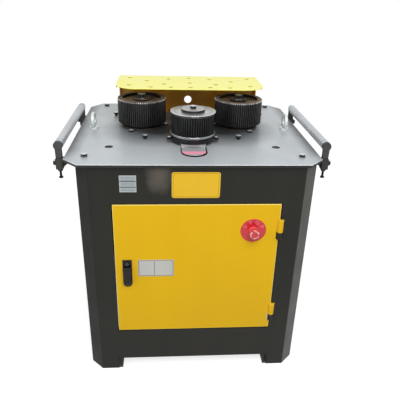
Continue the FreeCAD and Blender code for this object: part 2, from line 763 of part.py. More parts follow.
def corner_posts():
    """Square tube in each corner, with a plate on top that takes the table's corner bolt."""
    inside = prism(cabinet_outline(PANEL_WALL), 0.0, TABLE_UNDER_Z)
    half_depth = (CABINET_REAR_Y - CABINET_FRONT_Y) / 2
    x_far, y_far = post_outer_corner()
    x_near, y_near = x_far - POST_SIDE, y_far - POST_SIDE
    low, top = FOOT_PLATE_THICKNESS, TABLE_UNDER_Z - CAP_PLATE_THICKNESS
    wall = POST_WALL
    posts = []
    for sx, sy in corner_places():
        outer = corner_block(sx, sy, x_near, x_far, y_near, y_far, low, top)
        inner = corner_block(sx, sy, x_near + wall, x_far - wall, y_near + wall, y_far - wall, 0.0, top)
        cap_near = y_near - CAP_PLATE_REACH
        cap = corner_block(sx, sy, x_near, CABINET_HALF_WIDTH, cap_near, half_depth, top, TABLE_UNDER_Z)
        post = join([outer.cut(inner), cap]).common(inside)
        for x, y in corner_bolt_places():
            post = post.cut(hole(CORNER_BOLT_RADIUS, x, y, top, TABLE_UNDER_Z))
        posts.append(post)
    return posts


def foot_plates():
    """Foot plate under each post, with an anchor hole at its inner corner and a gusset to the post."""
    inside = prism(cabinet_outline(PANEL_WALL), 0.0, TABLE_UNDER_Z)
    half_depth = (CABINET_REAR_Y - CABINET_FRONT_Y) / 2
    anchor_x, anchor_y = anchor_half_spacing()
    x_near, y_near = anchor_x - ANCHOR_INSET, anchor_y - ANCHOR_INSET
    post_x = post_outer_corner()[0] - POST_SIDE
    gusset_y = post_outer_corner()[1] - POST_WALL
    middle_y = (CABINET_FRONT_Y + CABINET_REAR_Y) / 2
    top = FOOT_PLATE_THICKNESS
    plates = []
    for sx, sy in corner_places():
        plate = corner_block(sx, sy, x_near, CABINET_HALF_WIDTH, y_near, half_depth, 0.0, top)
        plate = plate.common(inside)
        inner_x = CABINET_SHIFT_X + sx * x_near
        outer_x = CABINET_SHIFT_X + sx * post_x
        y = middle_y + sy * gusset_y
        points = [
            vec(inner_x, y, 0.0),
            vec(outer_x, y, 0.0),
            vec(outer_x, y, GUSSET_HEIGHT),
            vec(inner_x, y, GUSSET_END_HEIGHT),
        ]
        gusset = upright_plate(points, vec(0, -sy * GUSSET_THICKNESS))
        anchor = hole(ANCHOR_HOLE / 2, CABINET_SHIFT_X + sx * anchor_x, middle_y + sy * anchor_y, 0.0, top)
        plates.append(join([plate, gusset]).cut(anchor))
    return plates


def post_outer_corner():
    """How far each post's outer faces are from the cabinet's middle, along X and along Y."""
    half_depth = (CABINET_REAR_Y - CABINET_FRONT_Y) / 2
    return CABINET_HALF_WIDTH - POST_INSET_X, half_depth - POST_INSET_Y


def anchor_half_spacing():
    """Half the distance between anchor holes along X and along Y."""
    x_far, y_far = post_outer_corner()
    inset = FOOT_PLATE_SIDE - ANCHOR_INSET
    return x_far - inset, y_far - inset


# Table and what stands on it

def corner_bolt_places():
    places = []
    for side in (-1, 1):
        front_x, rear_x = TABLE_HALF_WIDTH - CORNER_BOLT_FRONT[0], TABLE_HALF_WIDTH - CORNER_BOLT_REAR[0]
        places.append((side * front_x, TABLE_FRONT_Y + CORNER_BOLT_FRONT[1]))
        places.append((side * rear_x, TABLE_REAR_Y - CORNER_BOLT_REAR[1]))
    return places


def housing_bolt_places():
    places = []
    for side in (-1, 1):
        for angle in HOUSING_BOLT_ANGLES:
            turn = math.radians(angle)
            x = side * (ROLLER_PITCH + HOUSING_BOLT_CIRCLE * math.cos(turn))
            places.append((x, DRIVE_Y + HOUSING_BOLT_CIRCLE * math.sin(turn)))
    return places


def standing_bolt_places():
    """Bolts through the table beside the rollers: the frame's four smaller ones."""
    places = []
    for side in (-1, 1):
        places.append((side * STAND_BOLT_X, DRIVE_Y - STAND_BOLT_FROM_DRIVE))
        places.append((side * REAR_BOLT_X, TABLE_REAR_Y - REAR_BOLT_FROM_REAR))
    return places


def eyebolt_places():
    x = TABLE_HALF_WIDTH - EYEBOLT_FROM_SIDE
    return [(side * x, TABLE_FRONT_Y + EYEBOLT_FROM_FRONT) for side in (-1, 1)]


def slot_shape(z0, z1):
    """The slide's slot: round at the front and square at the rear."""
    centre = SLOT_FRONT_Y + SLOT_HALF_WIDTH
    straight = box(-SLOT_HALF_WIDTH, SLOT_HALF_WIDTH, centre, SLOT_REAR_Y, z0, z1)
    return straight.fuse(disc(SLOT_HALF_WIDTH, 0.0, centre, z0, z1))


def table_top():
    outline = octagon(TABLE_HALF_WIDTH, TABLE_FRONT_Y, TABLE_REAR_Y, TABLE_FRONT_CUT, TABLE_REAR_CUT)
    plate = prism(outline, TABLE_UNDER_Z, TABLE_TOP_Z)
    low, high = TABLE_UNDER_Z - OVERCUT, TABLE_TOP_Z + OVERCUT
    cuts = [slot_shape(low, high)]
    for side in (-1, 1):
        cuts.append(disc(HOUSING_RING_RADIUS, side * ROLLER_PITCH, DRIVE_Y, low, high))
        cuts.append(disc(PLUG_RADIUS, side * PLUG_X, TABLE_FRONT_Y + PLUG_FROM_FRONT, low, high))
    for x, y in corner_bolt_places() + housing_bolt_places() + standing_bolt_places():
        cuts.append(disc(CORNER_BOLT_RADIUS, x, y, low, high))
    for x, y in eyebolt_places():
        cuts.append(disc(EYEBOLT_SHANK_RADIUS, x, y, low, high))
    for x, y in guard_screw_places():
        cuts.append(disc(GUARD_SCREW_RADIUS, x, y, low, high))
    return plate.cut(cuts)


def table_bolts():
    bolts = []
    for x, y in corner_bolt_places():
        bolts.append(
            hex_bolt(
                x, y, TABLE_TOP_Z, CORNER_BOLT_FLATS, CORNER_BOLT_HEAD, CORNER_BOLT_RADIUS,
                TABLE_THICKNESS + CAP_PLATE_THICKNESS, CORNER_WASHER_RADIUS, CORNER_WASHER,
            )
        )
    return bolts


def housing_bolts():
    """Bolts that hold the bearing housings, and the taller ones with nuts beside them."""
    bolts = []
    depth = TABLE_THICKNESS + HOUSING_FLANGE_THICKNESS
    for x, y in housing_bolt_places():
        bolts.append(
            hex_bolt(x, y, TABLE_TOP_Z, CORNER_BOLT_FLATS, CORNER_BOLT_HEAD, CORNER_BOLT_RADIUS, depth)
        )
    for x, y in standing_bolt_places():
        seat = TABLE_TOP_Z + STAND_NUT_UP
        stud = disc(CORNER_BOLT_RADIUS, x, y, TABLE_UNDER_Z, seat)
        head = hexagon(CORNER_BOLT_FLATS, vec(x, y, seat), vec(0, 0, CORNER_BOLT_HEAD))
        nut = hexagon(CORNER_BOLT_FLATS, vec(x, y, TABLE_UNDER_Z), vec(0, 0, -CORNER_BOLT_HEAD))
        bolts.append(join([stud, head, nut]))
    return bolts


def table_plugs():
    plugs = []
    for side in (-1, 1):
        y = TABLE_FRONT_Y + PLUG_FROM_FRONT
        plugs.append(disc(PLUG_RADIUS, side * PLUG_X, y, TABLE_UNDER_Z, TABLE_TOP_Z - PLUG_RECESS))
    return plugs


def eyebolts():
    """Lifting eyebolts with their rings in line with the table's side edges."""
    bolts = []
    for x, y in eyebolt_places():
        centre_z = TABLE_TOP_Z + EYEBOLT_RING_RADIUS + EYEBOLT_WIRE_RADIUS
        eye = Part.makeTorus(EYEBOLT_RING_RADIUS, EYEBOLT_WIRE_RADIUS, vec(x, y, centre_z), X_AXIS)
        collar = disc(EYEBOLT_COLLAR_RADIUS, x, y, TABLE_TOP_Z, TABLE_TOP_Z + EYEBOLT_COLLAR)
        shank = disc(EYEBOLT_SHANK_RADIUS, x, y, TABLE_TOP_Z - EYEBOLT_SHANK, TABLE_TOP_Z)
        nut = hexagon(EYEBOLT_NUT_FLATS, vec(x, y, TABLE_UNDER_Z), vec(0, 0, -EYEBOLT_NUT))
        bolts.append(join([eye, collar, shank, nut]))
    return bolts


# Guard

def guard_back_plate():
    """Upright plate with its side flanges, foot lip, upper flange and round hole."""
    half, sheet = GUARD_HALF_WIDTH, GUARD_SHEET
    low, high = TABLE_TOP_Z, GUARD_TOP_Z - GUARD_SHEET
    shapes = [box(-half, half, GUARD_REAR_Y - sheet, GUARD_REAR_Y, low, high)]
    for side in (-1, 1):
        front = GUARD_REAR_Y - GUARD_SIDE_FLANGE
        shapes.append(box(side * half, side * (half - sheet), front, GUARD_REAR_Y, low, high))
    shapes.append(box(-half, half, GUARD_REAR_Y - GUARD_FOOT_LIP, GUARD_REAR_Y, low, low + sheet))
    shapes.append(box(-half, half, GUARD_REAR_Y - GUARD_TOP_FLANGE, GUARD_REAR_Y, high - sheet, high))
    plate = join(shapes)
    rear = vec(0, GUARD_REAR_Y, TABLE_TOP_Z + GUARD_HOLE_UP)
    plate = plate.cut(bore(GUARD_HOLE_RADIUS, rear - vec(0, sheet), rear))
    for x, y in guard_screw_places():
        plate = plate.cut(hole(GUARD_SCREW_RADIUS, x, y, low, low + sheet))
    return plate


def guard_top_plate():
    """Flat perforated plate over the rollers, with rounded front corners and turned-down sides."""
    half, radius = GUARD_HALF_WIDTH, GUARD_CORNER_RADIUS
    low = GUARD_TOP_Z - GUARD_SHEET
    front, rear = GUARD_FRONT_Y, GUARD_REAR_Y
    wide = box(-half, half, front + radius, rear, low, GUARD_TOP_Z)
    middle = box(-half + radius, half - radius, front, front + radius, low, GUARD_TOP_Z)
    shapes = [wide, middle]
    tab_end, tab_low = rear - GUARD_SIDE_FLANGE, low - GUARD_TAB_DEPTH
    for side in (-1, 1):
        shapes.append(disc(radius, side * (half - radius), front + radius, low, GUARD_TOP_Z))
        shapes.append(box(side * half, side * (half - GUARD_SHEET), front + radius, tab_end, tab_low, low))
    plate = join(shapes)
    cuts = []
    for back, places in GUARD_PERFORATIONS:
        for x in places:
            for side in sorted({-1.0 if x else 1.0, 1.0}):
                cuts.append(hole(GUARD_PERFORATION_RADIUS, side * x, front + back, low, GUARD_TOP_Z))
    return plate.cut(cuts)


def guard_screw_places():
    y = GUARD_REAR_Y - GUARD_SHEET - (GUARD_FOOT_LIP - GUARD_SHEET) / 2
    return [(side * x, y) for side in (-1, 1) for x in GUARD_SCREW_X]


def guard_screws():
    screws = []
    seat = TABLE_TOP_Z + GUARD_SHEET
    foot, crown = GUARD_SCREW_HEAD_RADIUS, GUARD_SCREW_CROWN_RADIUS
    for x, y in guard_screw_places():
        head = Part.makeCone(foot, crown, GUARD_SCREW_HEAD, vec(x, y, seat))
        screws.append(join([head, disc(GUARD_SCREW_RADIUS, x, y, seat - GUARD_SCREW_LENGTH, seat)]))
    return screws


# Drive rollers, shafts, gears and what carries them

def end_bolt(x, y, seat_z):
    """Bolt that holds a roller's end washer on its shaft."""
    head = hexagon(END_BOLT_FLATS, vec(x, y, seat_z), vec(0, 0, END_BOLT_HEAD))
    return join([head, disc(END_BOLT_RADIUS, x, y, seat_z - END_BOLT_LENGTH, seat_z)])


def key_shape(x, radius, z0, z1):
    """The parallel key on the +Y side of a shaft of some radius."""
    half = KEY_WIDTH / 2
    surface = DRIVE_Y + radius
    return box(x - half, x + half, surface - KEY_DEPTH, surface + KEY_STAND, z0, z1)


def roller_key(x):
    top = ROLLER_TOP_Z - ROLLER_RECESS_DEPTH - KEY_END_GAP
    return key_shape(x, SHAFT_END_RADIUS, ROLLER_FACE_Z + KEY_END_GAP, top)


def gear_key(x):
    return key_shape(x, SHAFT_RADIUS, GEAR_LOW_Z, GEAR_LOW_Z + GEAR_WIDTH)


def drive_roller(side):
    """Fluted roller: recessed top with a boss, and a smaller hub below."""
    x, y = side * ROLLER_PITCH, DRIVE_Y
    body = flutes(DRIVE_ROLLER_RADIUS, DRIVE_FLUTE_DEPTH, DRIVE_FLUTES, x, y, ROLLER_FACE_Z, ROLLER_TOP_Z)
    recess_z = ROLLER_TOP_Z - ROLLER_RECESS_DEPTH
    body = body.cut(disc(ROLLER_RECESS_RADIUS, x, y, recess_z, ROLLER_TOP_Z + OVERCUT))
    boss = disc(ROLLER_BOSS_RADIUS, x, y, recess_z, recess_z + ROLLER_BOSS_HEIGHT)
    hub = disc(ROLLER_HUB_RADIUS, x, y, HUB_LOW_Z, ROLLER_FACE_Z)
    roller = join([body, boss, hub])
    top = recess_z + ROLLER_BOSS_HEIGHT
    return roller.cut([hole(SHAFT_END_RADIUS, x, y, HUB_LOW_Z, top), roller_key(x)])


def drive_shaft(side):
    """Stepped shaft, its two keys, the end washer and the end bolt, as separate solids."""
    x, y = side * ROLLER_PITCH, DRIVE_Y
    top = ROLLER_TOP_Z - ROLLER_RECESS_DEPTH + ROLLER_BOSS_HEIGHT
    shaft = join([
        disc(SHAFT_RADIUS, x, y, GEAR_LOW_Z - END_CLEARANCE, HUB_LOW_Z),
        disc(SHAFT_END_RADIUS, x, y, HUB_LOW_Z, top - END_CLEARANCE),
    ])
    keys = [roller_key(x), gear_key(x)]
    bolt = end_bolt(x, y, top + END_WASHER_THICKNESS)
    shaft = shaft.cut(keys + [bolt])
    washer = disc(END_WASHER_RADIUS, x, y, top, top + END_WASHER_THICKNESS).cut(bolt)
    return [shaft, washer, bolt] + keys


def drive_gear(side):
    x, y = side * ROLLER_PITCH, DRIVE_Y
    half_pitch = math.pi / GEAR_TEETH
    turn = 0.0 if side < 0 else half_pitch
    gear_top = GEAR_LOW_Z + GEAR_WIDTH
    gear = involute_gear(GEAR_TEETH, x, y, GEAR_LOW_Z, gear_top, turn)
    hub = disc(GEAR_HUB_RADIUS, x, y, gear_top, gear_top + GEAR_HUB)
    return join([gear, hub]).cut([hole(SHAFT_RADIUS, x, y, GEAR_LOW_Z, gear_top + GEAR_HUB), gear_key(x)])


def bearing_housing(side):
    """Flanged housing under the table, whose ring stands up through it around the shaft."""
    x, y = side * ROLLER_PITCH, DRIVE_Y
    shapes = [
        disc(HOUSING_RING_RADIUS, x, y, TABLE_UNDER_Z, HOUSING_TOP_Z),
        disc(HOUSING_FLANGE_RADIUS, x, y, TABLE_UNDER_Z - HOUSING_FLANGE_THICKNESS, TABLE_UNDER_Z),
        disc(HOUSING_BODY_RADIUS, x, y, HOUSING_LOW_Z, TABLE_UNDER_Z - HOUSING_FLANGE_THICKNESS),
    ]
    housing = join(shapes)
    cuts = [hole(BEARING_SHOULDER_RADIUS, x, y, HOUSING_LOW_Z, HOUSING_TOP_Z)]
    for low in bearing_seats():
        cuts.append(disc(BEARING_RADIUS, x, y, low, low + BEARING_WIDTH))
    for bolt_x, bolt_y in housing_bolt_places():
        cuts.append(disc(CORNER_BOLT_RADIUS, bolt_x, bolt_y, HOUSING_LOW_Z, TABLE_TOP_Z))
    return housing.cut(cuts)


def bearing_seats():
    """The lower face of each bearing in a housing."""
    return HOUSING_LOW_Z, HOUSING_TOP_Z - BEARING_LIP - BEARING_WIDTH


def shaft_bearings():
    rings = []
    inner = SHAFT_RADIUS + RUNNING_CLEARANCE
    for side in (-1, 1):
        for low in bearing_seats():
            high = low + BEARING_WIDTH
            rings.append(ring(BEARING_RADIUS, inner, side * ROLLER_PITCH, DRIVE_Y, low, high))
    return rings


def pinion_shaft():
    """Pinion cut in one piece with the reducer's output shaft."""
    low = GEAR_LOW_Z - PINION_EXTRA_WIDTH / 2
    high = GEAR_LOW_Z + GEAR_WIDTH + PINION_EXTRA_WIDTH / 2
    pinion = involute_gear(PINION_TEETH, 0.0, DRIVE_Y, low, high, 0.0)
    shaft = disc(PINION_SHAFT_RADIUS, 0.0, DRIVE_Y, SHELF_LOW_Z - PINION_SHAFT_ENGAGEMENT, low)
    return join([pinion, shaft])


def drive_shelf():
    """Cross shelf between the side panels, with stiffening ribs below and a hole for the reducer."""
    wall = CABINET_HALF_WIDTH - PANEL_WALL
    left, right = CABINET_SHIFT_X - wall, CABINET_SHIFT_X + wall
    front, rear = DRIVE_Y - SHELF_DEPTH / 2, DRIVE_Y + SHELF_DEPTH / 2
    shapes = [box(left, right, front, rear, SHELF_LOW_Z, SHELF_TOP_Z)]
    for y in (front, rear - SHELF_RIB):
        shapes.append(box(left, right, y, y + SHELF_RIB, SHELF_LOW_Z - SHELF_RIB_HEIGHT, SHELF_LOW_Z))
    shelf = join(shapes)
    return shelf.cut(hole(SPIGOT_RADIUS, 0.0, DRIVE_Y, SHELF_LOW_Z, SHELF_TOP_Z))


def gear_reducer():
    """Vertical reducer hung under the shelf, with upright ribs on its body."""
    flange_low = SHELF_LOW_Z - REDUCER_FLANGE
    low = flange_low - REDUCER_LENGTH
    flange_radius = SHELF_DEPTH / 2 - SHELF_RIB - REDUCER_FLANGE_GAP
    shapes = [
        disc(SPIGOT_RADIUS, 0.0, DRIVE_Y, SHELF_LOW_Z, SHELF_LOW_Z + SPIGOT_HEIGHT),
        disc(flange_radius, 0.0, DRIVE_Y, flange_low, SHELF_LOW_Z),
        disc(REDUCER_RADIUS, 0.0, DRIVE_Y, low, flange_low),
    ]
    for rib in range(REDUCER_RIBS):
        half = REDUCER_RIB_WIDTH / 2
        block = box(0.0, REDUCER_RADIUS + REDUCER_RIB_REACH, -half, half, low, flange_low)
        block.rotate(vec(0, 0), Z_AXIS, 360.0 * (rib + 0.5) / REDUCER_RIBS)
        block.translate(vec(0.0, DRIVE_Y))
        shapes.append(block)
    body = join(shapes)
    bore_low = SHELF_LOW_Z - PINION_SHAFT_ENGAGEMENT - END_CLEARANCE
    return body.cut(disc(PINION_SHAFT_RADIUS + RUNNING_CLEARANCE, 0.0, DRIVE_Y, bore_low, SHELF_TOP_Z))


def drive_motor():
    """Flange motor under the reducer: finned body, fan cover and terminal box."""
    top = SHELF_LOW_Z - REDUCER_FLANGE - REDUCER_LENGTH
    body_top = top - MOTOR_FLANGE
    body_low = body_top - MOTOR_LENGTH
    low = body_low - FAN_COVER_LENGTH
    body = disc(MOTOR_RADIUS, 0.0, DRIVE_Y, low, body_top)
    shapes = [body, disc(REDUCER_RADIUS, 0.0, DRIVE_Y, body_top, top)]
    for fin in range(MOTOR_FINS):
        half = MOTOR_FIN_WIDTH / 2
        blade = box(0.0, MOTOR_RADIUS + MOTOR_FIN_REACH, -half, half, body_low, body_top)
        blade.rotate(vec(0, 0), Z_AXIS, 360.0 * fin / MOTOR_FINS)
        blade.translate(vec(0.0, DRIVE_Y))
        shapes.append(blade)
    shapes.append(disc(MOTOR_RADIUS + MOTOR_FIN_REACH, 0.0, DRIVE_Y, low, body_low))
    width, depth, height = TERMINAL_BOX
    front = DRIVE_Y - MOTOR_RADIUS - depth
    box_top = body_top - TERMINAL_BOX_DROP
    shapes.append(box(-width / 2, width / 2, front, DRIVE_Y - MOTOR_RADIUS / 2, box_top - height, box_top))
    return join(shapes)


# Press roller, slide and feed

def press_roller():
    """Fluted body and the bush pressed into it, as separate solids."""
    x, y = 0.0, PRESS_Y
    low, high = PRESS_BODY_LOW_Z, PRESS_BODY_TOP_Z
    body = flutes(PRESS_BODY_RADIUS, PRESS_FLUTE_DEPTH, PRESS_FLUTES, x, y, low, high)
    body = body.cut(hole(PRESS_BUSH_RADIUS, x, y, low, high))
    return [body, ring(PRESS_BUSH_RADIUS, PRESS_AXLE_RADIUS + RUNNING_CLEARANCE, x, y, low, high)]


def press_roller_flanges():
    """Bright flanges above and below the fluted body."""
    inner = PRESS_AXLE_RADIUS + RUNNING_CLEARANCE
    upper = ring(PRESS_TOP_FLANGE_RADIUS, inner, 0.0, PRESS_Y, PRESS_BODY_TOP_Z, PRESS_TOP_Z)
    lower = ring(PRESS_LOW_FLANGE_RADIUS, inner, 0.0, PRESS_Y, PRESS_FLANGE_LOW_Z, PRESS_BODY_LOW_Z)
    return [upper, lower]


def press_axle():
    """Fixed axle, the spacer it stands in, the cap disc and its bolt, as separate solids."""
    x, y = 0.0, PRESS_Y
    cap_low = PRESS_TOP_Z + PRESS_END_PLAY
    cap_high = cap_low + PRESS_CAP_THICKNESS
    head = hexagon(PRESS_BOLT_FLATS, vec(x, y, cap_high), vec(0, 0, PRESS_BOLT_HEAD))
    bolt = join([head, disc(PRESS_BOLT_RADIUS, x, y, cap_high - END_BOLT_LENGTH, cap_high)])
    axle = disc(PRESS_AXLE_RADIUS, x, y, SLIDE_LOW_Z + AXLE_SEAT, cap_low).cut(bolt)
    cap = disc(PRESS_CAP_RADIUS, x, y, cap_low, cap_high).cut(bolt)
    spacer_top = PRESS_FLANGE_LOW_Z - PRESS_END_PLAY
    spacer = ring(PRESS_SPACER_RADIUS, PRESS_AXLE_RADIUS, x, y, BASE_DISC_TOP_Z, spacer_top)
    return [axle, cap, bolt, spacer]


def press_slide():
    """Slide block with its nose in the slot, and the feed nut below; the axle's seat is bored in it."""
    y = PRESS_Y
    nose_top = TABLE_TOP_Z - NOSE_BELOW_TABLE
    nose_low = max(nose_top - NOSE_THICKNESS, SLIDE_TOP_Z - NOSE_THICKNESS)
    body_front, body_rear = y - SLIDE_HALF_LENGTH, y + SLIDE_HALF_LENGTH
    neck_front, neck_rear = y - NECK_HALF_LENGTH, y + NECK_HALF_LENGTH
    nut_low = FEED_Z - FEED_SCREW_RADIUS - NUT_BOTTOM_WALL
    shapes = [
        box(-SLIDE_HALF_WIDTH, SLIDE_HALF_WIDTH, body_front, body_rear, SLIDE_LOW_Z, SLIDE_TOP_Z),
        box(-NOSE_HALF_WIDTH, NOSE_HALF_WIDTH, NOSE_Y, y, nose_low, nose_top),
        disc(NOSE_HALF_WIDTH, 0.0, NOSE_Y, nose_low, nose_top),
        box(-NECK_HALF_WIDTH, NECK_HALF_WIDTH, neck_front, neck_rear, SLIDE_LOW_Z, BASE_DISC_LOW_Z),
        box(-NUT_HALF_WIDTH, NUT_HALF_WIDTH, y - NUT_HALF_LENGTH, y + NUT_HALF_LENGTH, nut_low, SLIDE_LOW_Z),
    ]
    slide = join(shapes)
    seat = disc(PRESS_AXLE_RADIUS, 0.0, y, SLIDE_LOW_Z + AXLE_SEAT, BASE_DISC_LOW_Z + OVERCUT)
    front, rear = vec(0, body_front, FEED_Z), vec(0, body_rear, FEED_Z)
    thread = bore(FEED_SCREW_RADIUS + RUNNING_CLEARANCE, front, rear)
    return slide.cut([seat, thread])


def press_base_disc():
    """Dark disc under the press roller, with an ear and a bolt on each side."""
    x, y = 0.0, PRESS_Y
    low, high = BASE_DISC_LOW_Z, BASE_DISC_TOP_Z
    ear_top = low + EAR_THICKNESS
    ear_y = y - EAR_FORWARD
    ears = box(-EAR_REACH, EAR_REACH, ear_y - EAR_HALF_WIDTH, ear_y + EAR_HALF_WIDTH, low, ear_top)
    base = join([disc(BASE_DISC_RADIUS, x, y, low, high), ears])
    base = base.cut(hole(PRESS_AXLE_RADIUS, x, y, low, high))
    bolts = []
    for side in (-1, 1):
        bolts.append(hexagon(EAR_BOLT_FLATS, vec(side * EAR_BOLT_X, ear_y, ear_top), vec(0, 0, EAR_BOLT_HEAD)))
    return [base] + bolts


def slide_rails():
    """Gib rails under the table, each with a lip that carries the slide."""
    rails = []
    inner = SLIDE_HALF_WIDTH + SLIDE_CLEARANCE
    front = PRESS_Y - SLIDE_HALF_LENGTH - FEED_BACK - RAIL_OVERRUN
    rear = PRESS_Y + SLIDE_HALF_LENGTH + FEED_TRAVEL + RAIL_OVERRUN
    lip_top = SLIDE_LOW_Z - SLIDE_CLEARANCE
    lip_low = lip_top - RAIL_LIP_THICKNESS
    outer = inner + RAIL_WIDTH
    for side in (-1, 1):
        wall = box(side * inner, side * outer, front, rear, lip_low, TABLE_UNDER_Z)
        lip = box(side * (inner - RAIL_LIP), side * outer, front, rear, lip_low, lip_top)
        rails.append(join([wall, lip]))
    return rails


def feed_screw():
    """Feed screw with a smaller journal at each end."""
    front_shoulder = vec(0, FEED_FRONT_Y + FEED_BLOCK_THICKNESS + FEED_SHOULDER_GAP, FEED_Z)
    rear_shoulder = vec(0, FEED_REAR_Y - FEED_SHOULDER_GAP, FEED_Z)
    front_tip = vec(0, FEED_FRONT_Y + FEED_BLOCK_FLOOR + FEED_SHOULDER_GAP, FEED_Z)
    rear_tip = vec(0, FEED_REAR_Y + FEED_JOURNAL_LENGTH, FEED_Z)
    screw = rod(FEED_SCREW_RADIUS, front_shoulder, rear_shoulder)
    front_end = rod(FEED_JOURNAL_RADIUS, front_tip, front_shoulder)
    rear_end = rod(FEED_JOURNAL_RADIUS, rear_shoulder, rear_tip)
    return join([screw, front_end, rear_end])


def feed_screw_bearing():
    """Block that carries the front end of the feed screw under the table."""
    half = FEED_BLOCK_HALF_WIDTH
    low = FEED_Z - FEED_SCREW_RADIUS - NUT_BOTTOM_WALL
    rear = FEED_FRONT_Y + FEED_BLOCK_THICKNESS
    block = box(-half, half, FEED_FRONT_Y, rear, low, TABLE_UNDER_Z)
    floor = vec(0, FEED_FRONT_Y + FEED_BLOCK_FLOOR, FEED_Z)
    return block.cut(rod(FEED_JOURNAL_RADIUS + RUNNING_CLEARANCE, floor, vec(0, rear + OVERCUT, FEED_Z)))


def feed_motor():
    """Geared feed motor on a plate under the table, in line with the feed screw."""
    start = FEED_REAR_Y
    plate_rear = start + FEED_FLANGE_THICKNESS
    gearbox_rear = plate_rear + FEED_GEARBOX_LENGTH
    half = FEED_GEARBOX_HALF
    motor_front = vec(0, gearbox_rear, FEED_Z)
    shapes = [
        box(-half, half, start, plate_rear, FEED_Z - half, TABLE_UNDER_Z),
        box(-half, half, plate_rear, gearbox_rear, FEED_Z - half, FEED_Z + half),
        rod(FEED_MOTOR_RADIUS, motor_front, motor_front + vec(0, FEED_MOTOR_LENGTH)),
    ]
    motor = join(shapes)
    journal_end = vec(0, start + FEED_JOURNAL_LENGTH, FEED_Z)
    return motor.cut(bore(FEED_JOURNAL_RADIUS + RUNNING_CLEARANCE, vec(0, start, FEED_Z), journal_end))


# Side support rollers

def arm_middles():
    """The Y of the middle of the front arm and of the rear arm."""
    return SUPPORT_FRONT_Y + ARM_THICKNESS / 2, SUPPORT_REAR_Y - ARM_THICKNESS / 2


def support_arm(side, y, inward, boss):
    """Arm with its round head and roller pin above the table, and a square stem below."""
    x = side * SUPPORT_X
    half = ARM_THICKNESS / 2
    head = rod(boss, vec(x, y - half, SUPPORT_Z), vec(x, y + half, SUPPORT_Z))
    shoulder = TABLE_UNDER_Z + ARM_SHOULDER_UP
    bar = box(x - ARM_WIDTH / 2, x + ARM_WIDTH / 2, y - half, y + half, shoulder, SUPPORT_Z)
    square = ARM_SQUARE / 2
    stem = box(x - square, x + square, y - square, y + square, shoulder - ARM_SQUARE_LENGTH, shoulder)
    pin_end = y + inward * (half + SUPPORT_PIN_LENGTH)
    pin = rod(SUPPORT_PIN_RADIUS, vec(x, y, SUPPORT_Z), vec(x, pin_end, SUPPORT_Z))
    return join([head, bar, stem, pin])


def support_arms(side):
    front, rear = arm_middles()
    return [support_arm(side, front, 1, FRONT_BOSS_RADIUS), support_arm(side, rear, -1, REAR_BOSS_RADIUS)]


def support_roller(side):
    """Tube with a bored cap in each end, which runs on the arms' pins."""
    x, z = side * SUPPORT_X, SUPPORT_Z
    front = SUPPORT_FRONT_Y + ARM_THICKNESS + SUPPORT_SIDE_GAP
    rear = SUPPORT_REAR_Y - ARM_THICKNESS - SUPPORT_SIDE_GAP
    tube = rod(SUPPORT_TUBE_RADIUS, vec(x, front, z), vec(x, rear, z))
    inner = SUPPORT_TUBE_RADIUS - SUPPORT_TUBE_WALL
    tube = tube.cut(bore(inner, vec(x, front, z), vec(x, rear, z)))
    caps = []
    for start, end in ((front, front + SUPPORT_END_CAP), (rear - SUPPORT_END_CAP, rear)):
        cap = rod(inner, vec(x, start, z), vec(x, end, z))
        caps.append(cap.cut(bore(SUPPORT_PIN_RADIUS + RUNNING_CLEARANCE, vec(x, start, z), vec(x, end, z))))
    return [tube] + caps


def support_socket(side, y):
    """Socket under the table's edge that guides an arm's stem, with a tapered tip for the jack screw."""
    x = side * SUPPORT_X
    half_x, half_y = SOCKET_WIDTH / 2, SOCKET_DEPTH / 2
    low = TABLE_UNDER_Z - SOCKET_HEIGHT + SOCKET_TIP_HEIGHT
    body = box(x - half_x, x + half_x, y - half_y, y + half_y, low, TABLE_UNDER_Z)
    tip = Part.makeCone(SOCKET_TIP_RADIUS, half_x, SOCKET_TIP_HEIGHT, vec(x, y, low - SOCKET_TIP_HEIGHT))
    inner = side * (CABINET_HALF_WIDTH + CABINET_SHIFT_X + SOCKET_FOOT_GAP)
    foot = box(inner, x, y - half_y, y + half_y, TABLE_UNDER_Z - SOCKET_FOOT_THICKNESS, TABLE_UNDER_Z)
    rib_y = y - SOCKET_RIB / 2
    rib_points = [
        vec(inner, rib_y, TABLE_UNDER_Z),
        vec(inner, rib_y, TABLE_UNDER_Z - SOCKET_RIB_END_DROP),
        vec(side * (SUPPORT_X - half_x), rib_y, TABLE_UNDER_Z - SOCKET_RIB_DROP),
        vec(side * (SUPPORT_X - half_x), rib_y, TABLE_UNDER_Z),
    ]
    rib = upright_plate(rib_points, vec(0, SOCKET_RIB))
    socket = join([body, tip, foot, rib])
    square = ARM_SQUARE / 2 + SOCKET_CLEARANCE
    floor = TABLE_UNDER_Z + ARM_SHOULDER_UP - ARM_SQUARE_LENGTH - SOCKET_CLEARANCE
    cuts = [
        box(x - square, x + square, y - square, y + square, floor, TABLE_UNDER_Z + OVERCUT),
        hole(JACK_RADIUS + RUNNING_CLEARANCE, x, y, low - SOCKET_TIP_HEIGHT, floor),
        rod(
            LOCK_BOLT_RADIUS, vec(x, y, TABLE_UNDER_Z - LOCK_BOLT_DROP),
            vec(x + side * SOCKET_WIDTH, y, TABLE_UNDER_Z - LOCK_BOLT_DROP),
        ),
    ]
    return socket.cut(cuts)


def support_sockets():
    return [support_socket(side, y) for _, side in SIDES for y in arm_middles()]


